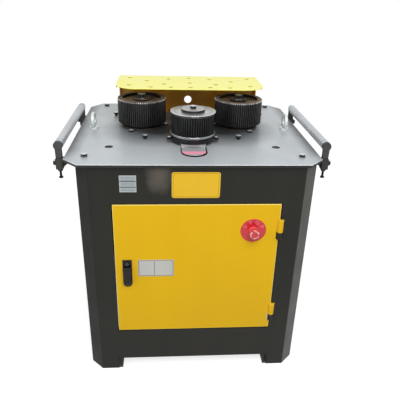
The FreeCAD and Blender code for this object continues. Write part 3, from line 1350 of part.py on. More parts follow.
def support_lock_bolts():
    """Bolts that clamp each stem from the outside."""
    bolts = []
    z = TABLE_UNDER_Z - LOCK_BOLT_DROP
    for _, side in SIDES:
        for y in arm_middles():
            tip_x = side * (SUPPORT_X + ARM_SQUARE / 2 + SOCKET_CLEARANCE)
            seat_x = side * (SUPPORT_X + SOCKET_WIDTH / 2 + LOCK_BOLT_STAND)
            shank = rod(LOCK_BOLT_RADIUS, vec(tip_x, y, z), vec(seat_x, y, z))
            head = hexagon(LOCK_BOLT_FLATS, vec(seat_x, y, z), vec(side * LOCK_BOLT_HEAD, 0, 0))
            bolts.append(join([shank, head]))
    return bolts


def jack_screw(side, y):
    """Screw under a stem, whose head hangs below the socket."""
    x = side * SUPPORT_X
    top = TABLE_UNDER_Z + ARM_SHOULDER_UP - ARM_SQUARE_LENGTH - JACK_TIP_GAP
    socket_low = TABLE_UNDER_Z - SOCKET_HEIGHT
    head_top = socket_low - JACK_EXPOSED
    head = hexagon(JACK_FLATS, vec(x, y, head_top), vec(0, 0, -JACK_HEAD))
    return join([disc(JACK_RADIUS, x, y, head_top, top), head])


# Door, lock and stop button

def door_panel():
    """Folded door tray with its cut-outs for the hinges, lock and stop button."""
    front, sheet = DOOR_FACE_Y, DOOR_SHEET
    outer = box(DOOR_LEFT_X, DOOR_RIGHT_X, front, front + sheet + DOOR_RETURN, DOOR_BOTTOM_Z, DOOR_TOP_Z)
    inner = box(
        DOOR_LEFT_X + sheet, DOOR_RIGHT_X - sheet, front + sheet, front + sheet + DOOR_RETURN,
        DOOR_BOTTOM_Z + sheet, DOOR_TOP_Z - sheet,
    )
    door = outer.cut(inner).cut(hinge_notch())
    half = LOCK_WIDTH / 2 - LOCK_BODY_INSET
    low = LOCK_Z - LOCK_HEIGHT / 2 + LOCK_BODY_INSET
    high = LOCK_Z + LOCK_HEIGHT / 2 - LOCK_BODY_INSET
    lock_hole = box(LOCK_X - half, LOCK_X + half, front - OVERCUT, front + sheet + OVERCUT, low, high)
    stop_hole = bore(STOP_HOLE_RADIUS, vec(STOP_X, front, STOP_Z), vec(STOP_X, front + sheet, STOP_Z))
    return door.cut([lock_hole, stop_hole])


def hinge_leaf(side, low, high):
    """Leaf behind the sheet, welded to a hinge's barrel."""
    near = DOOR_FACE_Y + (DOOR_SHEET if side < 0 else PANEL_WALL)
    return box(HINGE_X, HINGE_X + side * HINGE_LEAF_LENGTH, near, near + HINGE_LEAF, low, high)


def hinge_frame_halves():
    """Lower halves on the frame, each with the pin that the door half drops over."""
    halves = []
    for low, middle, _, _ in hinge_zones():
        barrel = disc(HINGE_RADIUS, HINGE_X, DOOR_FACE_Y, low, middle)
        pin = disc(HINGE_PIN_RADIUS, HINGE_X, DOOR_FACE_Y, middle, middle + HINGE_PIN_LENGTH)
        halves.append(join([barrel, hinge_leaf(1, low, middle), pin]))
    return halves


def hinge_door_halves():
    halves = []
    inner = HINGE_PIN_RADIUS + RUNNING_CLEARANCE
    for _, middle, low, high in hinge_zones():
        barrel = disc(HINGE_RADIUS, HINGE_X, DOOR_FACE_Y, low, high)
        half = join([barrel, hinge_leaf(-1, low, high)])
        pin_end = middle + HINGE_PIN_LENGTH + HINGE_PIN_END_GAP
        halves.append(half.cut(disc(inner, HINGE_X, DOOR_FACE_Y, middle, pin_end)))
    return halves


def lever_axis():
    """Where the lock handle's pin crosses the spindle: its Y and Z."""
    y = DOOR_FACE_Y - LOCK_PLATE - LEVER_GAP - LEVER_THICKNESS / 2
    return y, LOCK_Z - LOCK_HEIGHT / 2 + LEVER_PIN_UP


def lock_housing():
    """Lock plate on the door's face with a round lower end, and the lock case behind it."""
    front = DOOR_FACE_Y
    low, high = LOCK_Z - LOCK_HEIGHT / 2, LOCK_Z + LOCK_HEIGHT / 2
    half = LOCK_WIDTH / 2
    plate = box(LOCK_X - half, LOCK_X + half, front - LOCK_PLATE, front, low + half, high)
    end = rod(half, vec(LOCK_X, front - LOCK_PLATE, low + half), vec(LOCK_X, front, low + half))
    inset = LOCK_BODY_INSET
    inner = half - inset
    face, far = front - LOCK_PLATE, front + LOCK_BODY_DEPTH
    case = box(LOCK_X - inner, LOCK_X + inner, front, far, low + inset, high - inset)
    housing = join([plate, end, case])
    _, axis_z = lever_axis()
    button_start = vec(LOCK_X, face - OVERCUT, lock_button_z())
    button_end = vec(LOCK_X, far - LOCK_CASE_FLOOR, lock_button_z())
    return housing.cut([
        bore(SPINDLE_RADIUS + RUNNING_CLEARANCE, vec(LOCK_X, face, axis_z), vec(LOCK_X, far, axis_z)),
        rod(LOCK_BUTTON_RADIUS + RUNNING_CLEARANCE, button_start, button_end),
    ])


def lock_button_z():
    return LOCK_Z + LOCK_HEIGHT / 2 - LOCK_BUTTON_RADIUS - LOCK_BUTTON_INSET


def lock_button():
    """Round push button above the handle."""
    start = vec(LOCK_X, DOOR_FACE_Y - LOCK_PLATE - LOCK_BUTTON_REACH, lock_button_z())
    return rod(LOCK_BUTTON_RADIUS, start, start + vec(0, LOCK_BUTTON_LENGTH))


def lock_spindle():
    """Spindle with the handle's lug and pin in front, and the tongue behind the door."""
    axis_y, axis_z = lever_axis()
    back = DOOR_FACE_Y + LOCK_BODY_DEPTH + END_CLEARANCE
    half = LEVER_LUG_WIDTH / 2
    face = DOOR_FACE_Y - LOCK_PLATE
    shapes = [
        rod(SPINDLE_RADIUS, vec(LOCK_X, face, axis_z), vec(LOCK_X, back, axis_z)),
        box(LOCK_X - half, LOCK_X + half, axis_y, face + OVERCUT, axis_z - half, axis_z + half),
        rod(half, vec(LOCK_X - half, axis_y, axis_z), vec(LOCK_X + half, axis_y, axis_z)),
    ]
    pin_middle = vec(LOCK_X, axis_y, axis_z)
    pin_half = vec(LEVER_WIDTH / 2 - LEVER_PIN_INSET, 0)
    shapes.append(rod(LEVER_PIN_RADIUS, pin_middle - pin_half, pin_middle + pin_half))
    wide = TONGUE_WIDTH / 2
    tongue_back = back + TONGUE_THICKNESS
    shapes.append(rod(wide, vec(LOCK_X, back, axis_z), vec(LOCK_X, tongue_back, axis_z)))
    shapes.append(box(LOCK_X - wide, LOCK_X + wide, back, tongue_back, axis_z - TONGUE_LENGTH, axis_z))
    return join(shapes)


def lock_handle():
    """Handle that folds flat over the lock plate, slotted for the spindle's lug."""
    axis_y, axis_z = lever_axis()
    half_t, half_w = LEVER_THICKNESS / 2, LEVER_WIDTH / 2
    left, right = vec(LOCK_X - half_w, axis_y, axis_z), vec(LOCK_X + half_w, axis_y, axis_z)
    bar = box(left.x, right.x, axis_y - half_t, axis_y + half_t, axis_z, axis_z + LEVER_LENGTH)
    handle = join([bar, rod(half_t, left, right)])
    slot_half = LEVER_LUG_WIDTH / 2 + LEVER_GAP
    slot_left, slot_right = LOCK_X - slot_half, LOCK_X + slot_half
    reach = half_t + OVERCUT
    slot_top = axis_z + half_t + LEVER_SLOT_REACH
    return handle.cut([
        box(slot_left, slot_right, axis_y - reach, axis_y + reach, axis_z - reach, slot_top),
        bore(LEVER_PIN_RADIUS + RUNNING_CLEARANCE, left, right),
    ])


def front_plate(x, sizes, face_y):
    z, width, height, corner = sizes
    return rounded_plate(x, z, width, height, corner, face_y - PLATE_THICKNESS, face_y)


def stop_ring():
    """Round legend plate around the stop button."""
    front = DOOR_FACE_Y
    near, far = vec(STOP_X, front - STOP_RING_THICKNESS, STOP_Z), vec(STOP_X, front, STOP_Z)
    return rod(STOP_RING_RADIUS, near, far).cut(bore(STOP_HOLE_RADIUS, near, far))


def stop_body():
    """Collar and barrel through the door, the nut, and the contact block behind them."""
    ring_front = DOOR_FACE_Y - STOP_RING_THICKNESS
    behind = DOOR_FACE_Y + DOOR_SHEET
    barrel_end = behind + STOP_NUT_THICKNESS + STOP_BARREL_END
    collar_front = vec(STOP_X, ring_front - STOP_COLLAR_HEIGHT, STOP_Z)
    collar = rod(STOP_COLLAR_RADIUS, collar_front, vec(STOP_X, ring_front, STOP_Z))
    barrel = rod(STOP_HOLE_RADIUS, vec(STOP_X, ring_front, STOP_Z), vec(STOP_X, barrel_end, STOP_Z))
    width, depth, height = CONTACT_BLOCK
    low, high = STOP_Z - height / 2, STOP_Z + height / 2
    block = box(STOP_X - width / 2, STOP_X + width / 2, barrel_end, barrel_end + depth, low, high)
    plunger_end = vec(STOP_X, stop_plunger_end() + STOP_TRAVEL, STOP_Z)
    guide = bore(STOP_PLUNGER_RADIUS + RUNNING_CLEARANCE, collar_front, plunger_end)
    body = join([collar, barrel, block]).cut(guide)
    near, far = vec(STOP_X, behind, STOP_Z), vec(STOP_X, behind + STOP_NUT_THICKNESS, STOP_Z)
    nut = rod(STOP_NUT_RADIUS, near, far).cut(bore(STOP_HOLE_RADIUS, near, far))
    return [body, nut]


def stop_head_back():
    return DOOR_FACE_Y - STOP_REACH + STOP_HEAD_THICKNESS


def stop_plunger_end():
    return DOOR_FACE_Y + DOOR_SHEET + STOP_NUT_THICKNESS


def stop_plunger():
    """Plunger that slides in the barrel and carries the head on its front journal."""
    start = vec(STOP_X, stop_head_back() + STOP_HEAD_GAP, STOP_Z)
    shaft = rod(STOP_PLUNGER_RADIUS, start, vec(STOP_X, stop_plunger_end(), STOP_Z))
    journal = rod(STOP_JOURNAL_RADIUS, start - vec(0, STOP_JOURNAL_LENGTH), start)
    return join([shaft, journal])


def stop_head():
    """Mushroom head with a domed face and a tapered skirt."""
    front = DOOR_FACE_Y - STOP_REACH
    back = stop_head_back()
    flat, crown = STOP_HEAD_FACE_RADIUS, STOP_HEAD_CROWN
    across = STOP_HEAD_RADIUS - flat
    bend = (across * across + crown * crown) / (2 * crown)
    half_turn = math.asin(across / bend) / 2
    middle = vec(flat + bend * math.sin(half_turn), front + bend * (1 - math.cos(half_turn)))
    rim = vec(STOP_HEAD_RADIUS, front + crown)
    skirt = vec(STOP_HEAD_RADIUS, rim.y + STOP_HEAD_RIM)
    outline = [rim, skirt, vec(STOP_HEAD_BACK_RADIUS, back), vec(0, back), vec(0, front), vec(flat, front)]
    edges = [Part.makeLine(start, end) for start, end in zip(outline, outline[1:])]
    edges.append(Part.Arc(outline[-1], middle, rim).toShape())
    head = Part.Face(Part.Wire(edges)).revolve(vec(0, 0), Y_AXIS, 360)
    socket_floor = vec(0, back - STOP_JOURNAL_LENGTH)
    head = head.cut(rod(STOP_JOURNAL_RADIUS + RUNNING_CLEARANCE, socket_floor, vec(0, back + OVERCUT)))
    head.translate(vec(STOP_X, 0, STOP_Z))
    return head


# Electrical pieces

def panel_wall_x():
    """Inner face of the left side panel."""
    return CABINET_SHIFT_X - CABINET_HALF_WIDTH + PANEL_WALL


def electrical_panel():
    """Mounting plate on four standoffs inside the left side panel."""
    thickness, depth, height = PANEL_PLATE
    y, z = PANEL_CENTRE
    x = panel_wall_x() + PANEL_STANDOFF
    shapes = [box(x, x + thickness, y - depth / 2, y + depth / 2, z - height / 2, z + height / 2)]
    for sy in (-1, 1):
        for sz in (-1, 1):
            across, up = depth / 2 - STANDOFF_INSET, height / 2 - STANDOFF_INSET
            at = vec(panel_wall_x(), y + sy * across, z + sz * up)
            shapes.append(rod(STANDOFF_RADIUS, at, at + vec(PANEL_STANDOFF, 0, 0)))
    return join(shapes)


def contactors():
    """A row of contactors, and the terminal strip below them."""
    thickness = PANEL_PLATE[0]
    y, z = PANEL_CENTRE
    x = panel_wall_x() + PANEL_STANDOFF + thickness
    reach, width, height = CONTACTOR
    low, high = z + CONTACTOR_UP, z + CONTACTOR_UP + height
    nose_low, nose_high = low + CONTACTOR_NOSE_INSET, high - CONTACTOR_NOSE_INSET
    nose_reach, nose_half = reach + CONTACTOR_NOSE, width / 3
    pieces = []
    for place in range(CONTACTOR_COUNT):
        middle = y + (place - (CONTACTOR_COUNT - 1) / 2) * CONTACTOR_PITCH
        base = box(x, x + reach, middle - width / 2, middle + width / 2, low, high)
        nose = box(x, x + nose_reach, middle - nose_half, middle + nose_half, nose_low, nose_high)
        pieces.append(join([base, nose]))
    reach, width, height = TERMINAL_STRIP
    low = z - TERMINAL_STRIP_DROP
    pieces.append(box(x, x + reach, y - width / 2, y + width / 2, low, low + height))
    return pieces


def cable_gland():
    """Gland in the right side panel, with its nut inside and its bore for the supply cable."""
    wall = CABINET_SHIFT_X + CABINET_HALF_WIDTH
    y, z = GLAND_Y, GLAND_Z
    outer_end = vec(wall + GLAND_BODY + GLAND_CAP, y, z)
    inner_end = vec(wall - PANEL_WALL - GLAND_THREAD_END, y, z)
    gland = join([
        hexagon(GLAND_HEX, vec(wall, y, z), vec(GLAND_BODY, 0, 0)),
        rod(GLAND_CAP_RADIUS, vec(wall + GLAND_BODY, y, z), outer_end),
        rod(GLAND_HOLE_RADIUS, inner_end, vec(wall, y, z)),
        hexagon(GLAND_HEX, vec(wall - PANEL_WALL, y, z), vec(-GLAND_NUT, 0, 0)),
    ])
    return gland.cut(bore(GLAND_BORE, inner_end, outer_end))


def build():
    """Every node's solids, by the node's name."""
    shell = cabinet_shell()
    nodes = {
        "front_panel": front_panel(shell),
        "left_side_panel": side_panel(shell, -1),
        "right_side_panel": side_panel(shell, 1),
        "rear_panel": rear_panel(shell),
        "rear_cover": rear_cover(),
        "cover_screws": cover_screws() + guard_screws(),
        "corner_posts": corner_posts(),
        "foot_plates": foot_plates(),
        "table_top": table_top(),
        "table_bolts": table_bolts() + housing_bolts(),
        "table_plugs": table_plugs(),
        "eyebolts": eyebolts(),
        "guard_back_plate": guard_back_plate(),
        "guard_top_plate": guard_top_plate(),
        "bearing_housings": [bearing_housing(side) for _, side in SIDES],
        "shaft_bearings": shaft_bearings(),
        "slide_rails": slide_rails(),
        "feed_screw_bearing": feed_screw_bearing(),
        "feed_motor": feed_motor(),
        "gear_reducer": gear_reducer(),
        "drive_motor": drive_motor(),
        "drive_shelf": drive_shelf(),
        "electrical_panel": [electrical_panel()] + contactors(),
        "front_plates": [
            front_plate(NAMEPLATE_X, NAMEPLATE, DOOR_FACE_Y),
            front_plate(DATA_PLATE_X, DATA_PLATE, DOOR_FACE_Y),
        ],
        "hinge_frame_halves": hinge_frame_halves(),
        "support_sockets": support_sockets(),
        "support_lock_bolts": support_lock_bolts(),
        "cable_gland": cable_gland(),
        "door_panel": door_panel(),
        "hinge_door_halves": hinge_door_halves(),
        "lock_housing": lock_housing(),
        "door_plate": front_plate(LOCK_X + DOOR_PLATE_FROM_LOCK, DOOR_PLATE, DOOR_FACE_Y),
        "stop_ring": stop_ring(),
        "stop_body": stop_body(),
        "stop_plunger": stop_plunger(),
        "stop_head": stop_head(),
        "lock_spindle": lock_spindle(),
        "lock_handle": lock_handle(),
        "lock_button": lock_button(),
        "pinion_shaft": pinion_shaft(),
        "press_roller": press_roller(),
        "press_roller_flanges": press_roller_flanges(),
        "press_axle": press_axle(),
        "press_slide": press_slide(),
        "press_base_disc": press_base_disc(),
        "feed_screw": feed_screw(),
    }
    for name, side in SIDES:
        nodes["drive_roller_" + name] = drive_roller(side)
        nodes["drive_shaft_" + name] = drive_shaft(side)
        nodes["drive_gear_" + name] = drive_gear(side)
        nodes["support_arms_" + name] = support_arms(side)
        nodes["support_roller_" + name] = support_roller(side)
        for place, y in zip(("front", "rear"), arm_middles()):
            nodes["jack_screw_" + place + "_" + name] = jack_screw(side, y)
    return nodes


def main():
    os.makedirs("parts", exist_ok=True)
    for name, shapes in build().items():
        solids = []
        for shape in shapes if isinstance(shapes, list) else [shapes]:
            solids.extend(shape.Solids)
        whole = solids[0] if len(solids) == 1 else Part.makeCompound(solids)
        whole.exportStep(os.path.join("parts", name + ".step"))
        print(name, len(solids), "solids", round(sum(solid.Volume for solid in solids)))


main()
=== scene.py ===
"""Looks of the floor-standing bar bending machine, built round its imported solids.

Lengths are in metres and profiles in millimetres. +Z is up and the door faces -Y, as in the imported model.
"""
import json
import logging
import math
from dataclasses import dataclass, replace
from enum import Enum
from typing import Callable, Mapping, Optional, Sequence

import bmesh
import bpy
from mathutils import Matrix, Vector


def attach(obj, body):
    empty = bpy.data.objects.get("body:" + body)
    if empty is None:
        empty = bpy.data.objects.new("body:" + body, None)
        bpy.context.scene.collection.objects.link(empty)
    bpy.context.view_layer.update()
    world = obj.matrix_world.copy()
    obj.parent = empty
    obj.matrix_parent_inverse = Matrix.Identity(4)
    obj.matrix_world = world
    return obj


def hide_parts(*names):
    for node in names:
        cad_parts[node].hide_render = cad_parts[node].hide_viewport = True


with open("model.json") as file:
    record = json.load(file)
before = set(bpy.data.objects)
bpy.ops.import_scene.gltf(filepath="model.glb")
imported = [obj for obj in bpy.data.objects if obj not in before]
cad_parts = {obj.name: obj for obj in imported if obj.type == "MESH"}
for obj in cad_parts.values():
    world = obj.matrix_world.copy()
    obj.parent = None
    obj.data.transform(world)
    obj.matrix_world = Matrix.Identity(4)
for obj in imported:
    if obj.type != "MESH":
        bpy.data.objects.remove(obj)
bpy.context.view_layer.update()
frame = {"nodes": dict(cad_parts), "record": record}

LOG = logging.getLogger("bar_bender")
MM = 0.001
EDGE = "edge_mask"
TIP = "flute_tip"
WAY = "way"
SHARP_TURN = math.radians(50)
ONE_PLACE = 2e-6

Triple = tuple[float, float, float]
Colour = Triple
Pair = tuple[float, float]
Profile = tuple[Triple, ...]
Test = Callable[[Vector, Vector], bool]
Pick = Callable[[Vector], int]
Socket = bpy.types.NodeSocket
Mesh = bpy.types.Mesh


def tone(red: int, green: int, blue: int) -> Colour:
    """Turn a colour as a screen shows it into the linear one that shaders take.

    Args:
        red: Red from 0 to 255.
        green: Green from 0 to 255.
        blue: Blue from 0 to 255.

    Returns:
        The linear colour.
    """
    def straight(level: int) -> float:
        """Undo the screen's curve for one channel."""
        share = level / 255
        return share / 12.92 if share <= 0.04045 else ((share + 0.055) / 1.055) ** 2.4
    return straight(red), straight(green), straight(blue)


# Node trees

class Graph:
    """A node tree with short calls that add nodes and join them."""

    FIRST_COLOUR = 6
    SECOND_COLOUR = 7
    MIXED_COLOUR = 2

    def __init__(self, tree: bpy.types.NodeTree) -> None:
        """Keep the tree that the calls add to."""
        self.tree = tree

    def feed(self, socket: Socket, value: object) -> None:
        """Join a socket to another, or set its own value.

        Args:
            socket: The input.
            value: An output socket, or a plain value. A colour gets full opacity.
        """
        if isinstance(value, Socket):
            self.tree.links.new(value, socket)
        elif socket.type == "RGBA":
            socket.default_value = (*value[:3], 1.0)
        else:
            socket.default_value = value

    def add(
        self, kind: str, inputs: Optional[Mapping[object, object]] = None, **settings: object,
    ) -> bpy.types.Node:
        """Add a node.

        Args:
            kind: Its type's name.
            inputs: What goes into its inputs, by name or number.
            **settings: Its own properties.

        Returns:
            The new node.
        """
        node = self.tree.nodes.new(kind)
        for name, value in settings.items():
            setattr(node, name, value)
        for key, value in (inputs or {}).items():
            self.feed(node.inputs[key], value)
        return node

    def math(self, operation: str, *values: object, clamp: bool = False) -> Socket:
        """Return the result of a Math node on the given values."""
        inputs = dict(enumerate(values))
        return self.add("ShaderNodeMath", inputs, operation=operation, use_clamp=clamp).outputs[0]

    def mix(self, share: object, first: object, second: object) -> Socket:
        """Return the first colour with a share of the second mixed in."""
        inputs = {"Factor": share, self.FIRST_COLOUR: first, self.SECOND_COLOUR: second}
        return self.add("ShaderNodeMix", inputs, data_type="RGBA").outputs[self.MIXED_COLOUR]

    def product(self, first: object, second: object, clamp: bool = False) -> Socket:
        """Return two numbers multiplied."""
        return self.math("MULTIPLY", first, second, clamp=clamp)

    def less(self, first: object, second: object) -> Socket:
        """Return the first number less the second."""
        return self.math("SUBTRACT", first, second)

    def noise(self, place: object, scale: object, detail: float = 2.0, rough: float = 0.5) -> Socket:
        """Return soft noise over a place.

        Args:
            place: The coordinates.
            scale: Features per metre.
            detail: How many finer layers it has.
            rough: How strong the finer layers are.

        Returns:
            The noise, mostly from 0.3 to 0.7.
        """
        inputs = {"Vector": place, "Scale": scale, "Detail": detail, "Roughness": rough}
        return self.add("ShaderNodeTexNoise", inputs).outputs[0]

    def span(
        self, value: object, low: object, high: object, to_low: object = 0.0, to_high: object = 1.0,
    ) -> Socket:
        """Carry a value from one range to another, held inside it.

        Args:
            value: What to carry.
            low: The range's start.
            high: The range's end.
            to_low: What the start becomes.
            to_high: What the end becomes.

        Returns:
            The carried value.
        """
        inputs = {"Value": value, "From Min": low, "From Max": high, "To Min": to_low, "To Max": to_high}
        return self.add("ShaderNodeMapRange", inputs).outputs[0]

    def distance(self, across: Socket, along: Socket) -> Socket:
        """Return how far two numbers at right angles reach together."""
        squares = [self.product(side, side) for side in (across, along)]
        return self.math("SQRT", self.math("ADD", *squares))

    def times(self, place: object, factors: object) -> Socket:
        """Return a vector multiplied, axis by axis."""
        return self.add("ShaderNodeVectorMath", {0: place, 1: factors}, operation="MULTIPLY").outputs[0]

    def split(self, place: object) -> Sequence[Socket]:
        """Return a vector's X, Y and Z."""
        return self.add("ShaderNodeSeparateXYZ", {0: place}).outputs


class OpenTree(Graph):
    """A node tree with its own named inputs and outputs."""

    KINDS = {1: "NodeSocketFloat", 3: "NodeSocketVector", 4: "NodeSocketColor"}

    def __init__(self, name: str, kind: str) -> None:
        """Start an empty tree.

        Args:
            name: The tree's name.
            kind: The tree's type.
        """
        super().__init__(bpy.data.node_groups.new(name, kind))
        self.entry = self.tree.nodes.new("NodeGroupInput")
        self.exit = self.tree.nodes.new("NodeGroupOutput")

    def take(self, label: str, default: object) -> Socket:
        """Add a named input.

        Args:
            label: Its name.
            default: Its value where none is given: a number, a vector or a colour with opacity.

        Returns:
            The socket inside the tree.
        """
        size = len(default) if hasattr(default, "__len__") else 1
        kind = "NodeSocketInt" if isinstance(default, int) else self.KINDS[size]
        self.tree.interface.new_socket(label, in_out="INPUT", socket_type=kind).default_value = default
        return self.entry.outputs[label]

    def give(self, label: str, value: Socket, size: int = 1) -> None:
        """Add a named output.

        Args:
            label: Its name.
            value: What it puts out.
            size: 1 for a number, 3 for a vector and 4 for a colour.
        """
        self.tree.interface.new_socket(label, in_out="OUTPUT", socket_type=self.KINDS[size])
        self.feed(self.exit.inputs[label], value)


class Effect(Enum):
    """A surface effect that several finishes share."""

    COAT = "sprayed coat"
    WEAR = "worn edges"
    DUST = "settled dust"
    GRAIN = "ground steel"
    RINGS = "turned rings"
    CAST = "cast skin"
    MOULD = "moulded skin"


class Effects:
    """Builds each surface effect once, as a shader node group."""

    @staticmethod
    def group(effect: Effect) -> bpy.types.NodeTree:
        """Return the effect's group, built at its first use."""
        found = bpy.data.node_groups.get(effect.value)
        if found is None:
            tree = OpenTree(effect.value, "ShaderNodeTree")
            getattr(Effects, effect.name.lower())(tree)
            found = tree.tree
        return found

    @staticmethod
    def start(tree: OpenTree) -> tuple[Socket, Socket]:
        """Add the two inputs that every effect has, the place and the colour."""
        return tree.take("Place", (0.0, 0.0, 0.0)), tree.take("Colour", (0.5, 0.5, 0.5, 1.0))

    @staticmethod
    def coat(tree: OpenTree) -> None:
        """Cloudy shade, long faint runs and the fine orange peel of sprayed paint."""
        place, colour = Effects.start(tree)
        shade, amount = tree.take("Shade", (0.4, 0.4, 0.4, 1.0)), tree.take("Amount", 0.5)
        peel = tree.take("Peel", 420.0)
        clouds = tree.noise(place, 3.1, 4.0)
        runs = tree.noise(tree.times(place, (11.0, 11.0, 1.4)), 1.0, 3.0)
        mask = tree.span(tree.math("ADD", clouds, runs), 0.75, 1.3)
        tree.give("Colour", tree.mix(tree.product(mask, amount), colour, shade), 4)
        tree.give("Gloss", tree.span(tree.noise(place, 13.0, 5.0, 0.6), 0.3, 0.7))
        fine = tree.noise(place, peel, 1.5)
        broad = tree.noise(place, tree.product(peel, 0.17), 1.0)
        tree.give("Height", tree.math("MULTIPLY_ADD", broad, 0.6, fine))

    @staticmethod
    def wear(tree: OpenTree) -> None:
        """Chips and rubbed places along the rounded edges."""
        place, colour = Effects.start(tree)
        bare, edge = tree.take("Bare", (0.6, 0.6, 0.6, 1.0)), tree.take("Edge", 0.0)
        amount = tree.take("Amount", 0.3)
        chips = tree.noise(place, 62.0, 6.0, 0.62)
        start = tree.less(0.72, tree.product(amount, 0.4))
        mask = tree.product(edge, tree.span(chips, start, tree.math("ADD", start, 0.09)))
        tree.give("Colour", tree.mix(mask, colour, bare), 4)

    @staticmethod
    def dust(tree: OpenTree) -> None:
        """Thin dust in patches, thicker low down."""
        place, colour = Effects.start(tree)
        dust, amount = tree.take("Dust", (0.4, 0.38, 0.34, 1.0)), tree.take("Amount", 0.1)
        patches = tree.span(tree.noise(place, 2.1, 3.0), 0.35, 0.7)
        specks = tree.span(tree.noise(place, 140.0, 6.0, 0.7), 0.45, 0.75)
        low = tree.span(tree.split(place)[2], 0.0, 0.35, 1.0, 0.35)
        spread = tree.product(tree.math("MULTIPLY_ADD", specks, 0.7, patches), low)
        mask = tree.product(spread, amount, clamp=True)
        tree.give("Colour", tree.mix(mask, colour, dust), 4)
        tree.give("Mask", mask)

    @staticmethod
    def grain(tree: OpenTree) -> None:
        """Fine lines of a ground or drawn face, with broad stains."""
        place, colour = Effects.start(tree)
        dark, lines = tree.take("Dark", (0.4, 0.4, 0.4, 1.0)), tree.take("Lines", (8.0, 300.0, 8.0))
        amount = tree.take("Amount", 0.5)
        scratches = tree.noise(tree.times(place, lines), 1.0, 4.0, 0.6)
        stains = tree.span(tree.noise(place, 5.2, 5.0, 0.6), 0.42, 0.72)
        mask = tree.math("MULTIPLY_ADD", tree.span(scratches, 0.4, 0.75), 0.5, stains)
        tree.give("Colour", tree.mix(tree.product(mask, amount, clamp=True), colour, dark), 4)
        tree.give("Gloss", tree.span(tree.math("MULTIPLY_ADD", scratches, 0.5, stains), 0.2, 1.0))
        tree.give("Height", scratches)

    @staticmethod
    def rings(tree: OpenTree) -> None:
        """Rings that a lathe leaves round an axis along Z."""
        place, colour = Effects.start(tree)
        dark, amount = tree.take("Dark", (0.4, 0.4, 0.4, 1.0)), tree.take("Amount", 0.5)
        flat = tree.times(place, (1.0, 1.0, 0.0))
        radius = tree.add("ShaderNodeVectorMath", {0: flat}, operation="LENGTH").outputs["Value"]
        out = tree.add("ShaderNodeCombineXYZ", {0: radius}).outputs[0]
        broad = tree.noise(out, 130.0, 2.0)
        fine = tree.noise(out, 1500.0, 2.0)
        mask = tree.product(tree.span(broad, 0.35, 0.68), amount)
        tree.give("Colour", tree.mix(mask, colour, dark), 4)
        tree.give("Gloss", tree.span(tree.math("MULTIPLY_ADD", fine, 0.5, broad), 0.5, 1.0))
        tree.give("Height", fine)

    @staticmethod
    def cast(tree: OpenTree) -> None:
        """Pebbled skin of a sand casting or of painted iron."""
        place, colour = Effects.start(tree)
        dark, scale = tree.take("Dark", (0.15, 0.15, 0.15, 1.0)), tree.take("Scale", 260.0)
        pits = tree.noise(place, scale, 5.0, 0.6)
        clouds = tree.noise(place, 21.0, 4.0, 0.6)
        mask = tree.span(tree.math("ADD", pits, clouds), 0.8, 1.25)
        tree.give("Colour", tree.mix(mask, colour, dark), 4)
        tree.give("Gloss", tree.span(clouds, 0.3, 0.7))
        tree.give("Height", pits)

    @staticmethod
    def mould(tree: OpenTree) -> None:
        """Fine grain and rubbed sheen of moulded plastic."""
        place, colour = Effects.start(tree)
        rubbed = tree.take("Rubbed", (0.16, 0.16, 0.16, 1.0))
        smears = tree.noise(place, 34.0, 4.0, 0.6)
        tree.give("Colour", tree.mix(tree.span(smears, 0.42, 0.75, 0.0, 0.6), colour, rubbed), 4)
        tree.give("Gloss", tree.span(smears, 0.3, 0.7))
        tree.give("Height", tree.noise(place, 1300.0, 2.0))


# Finishes

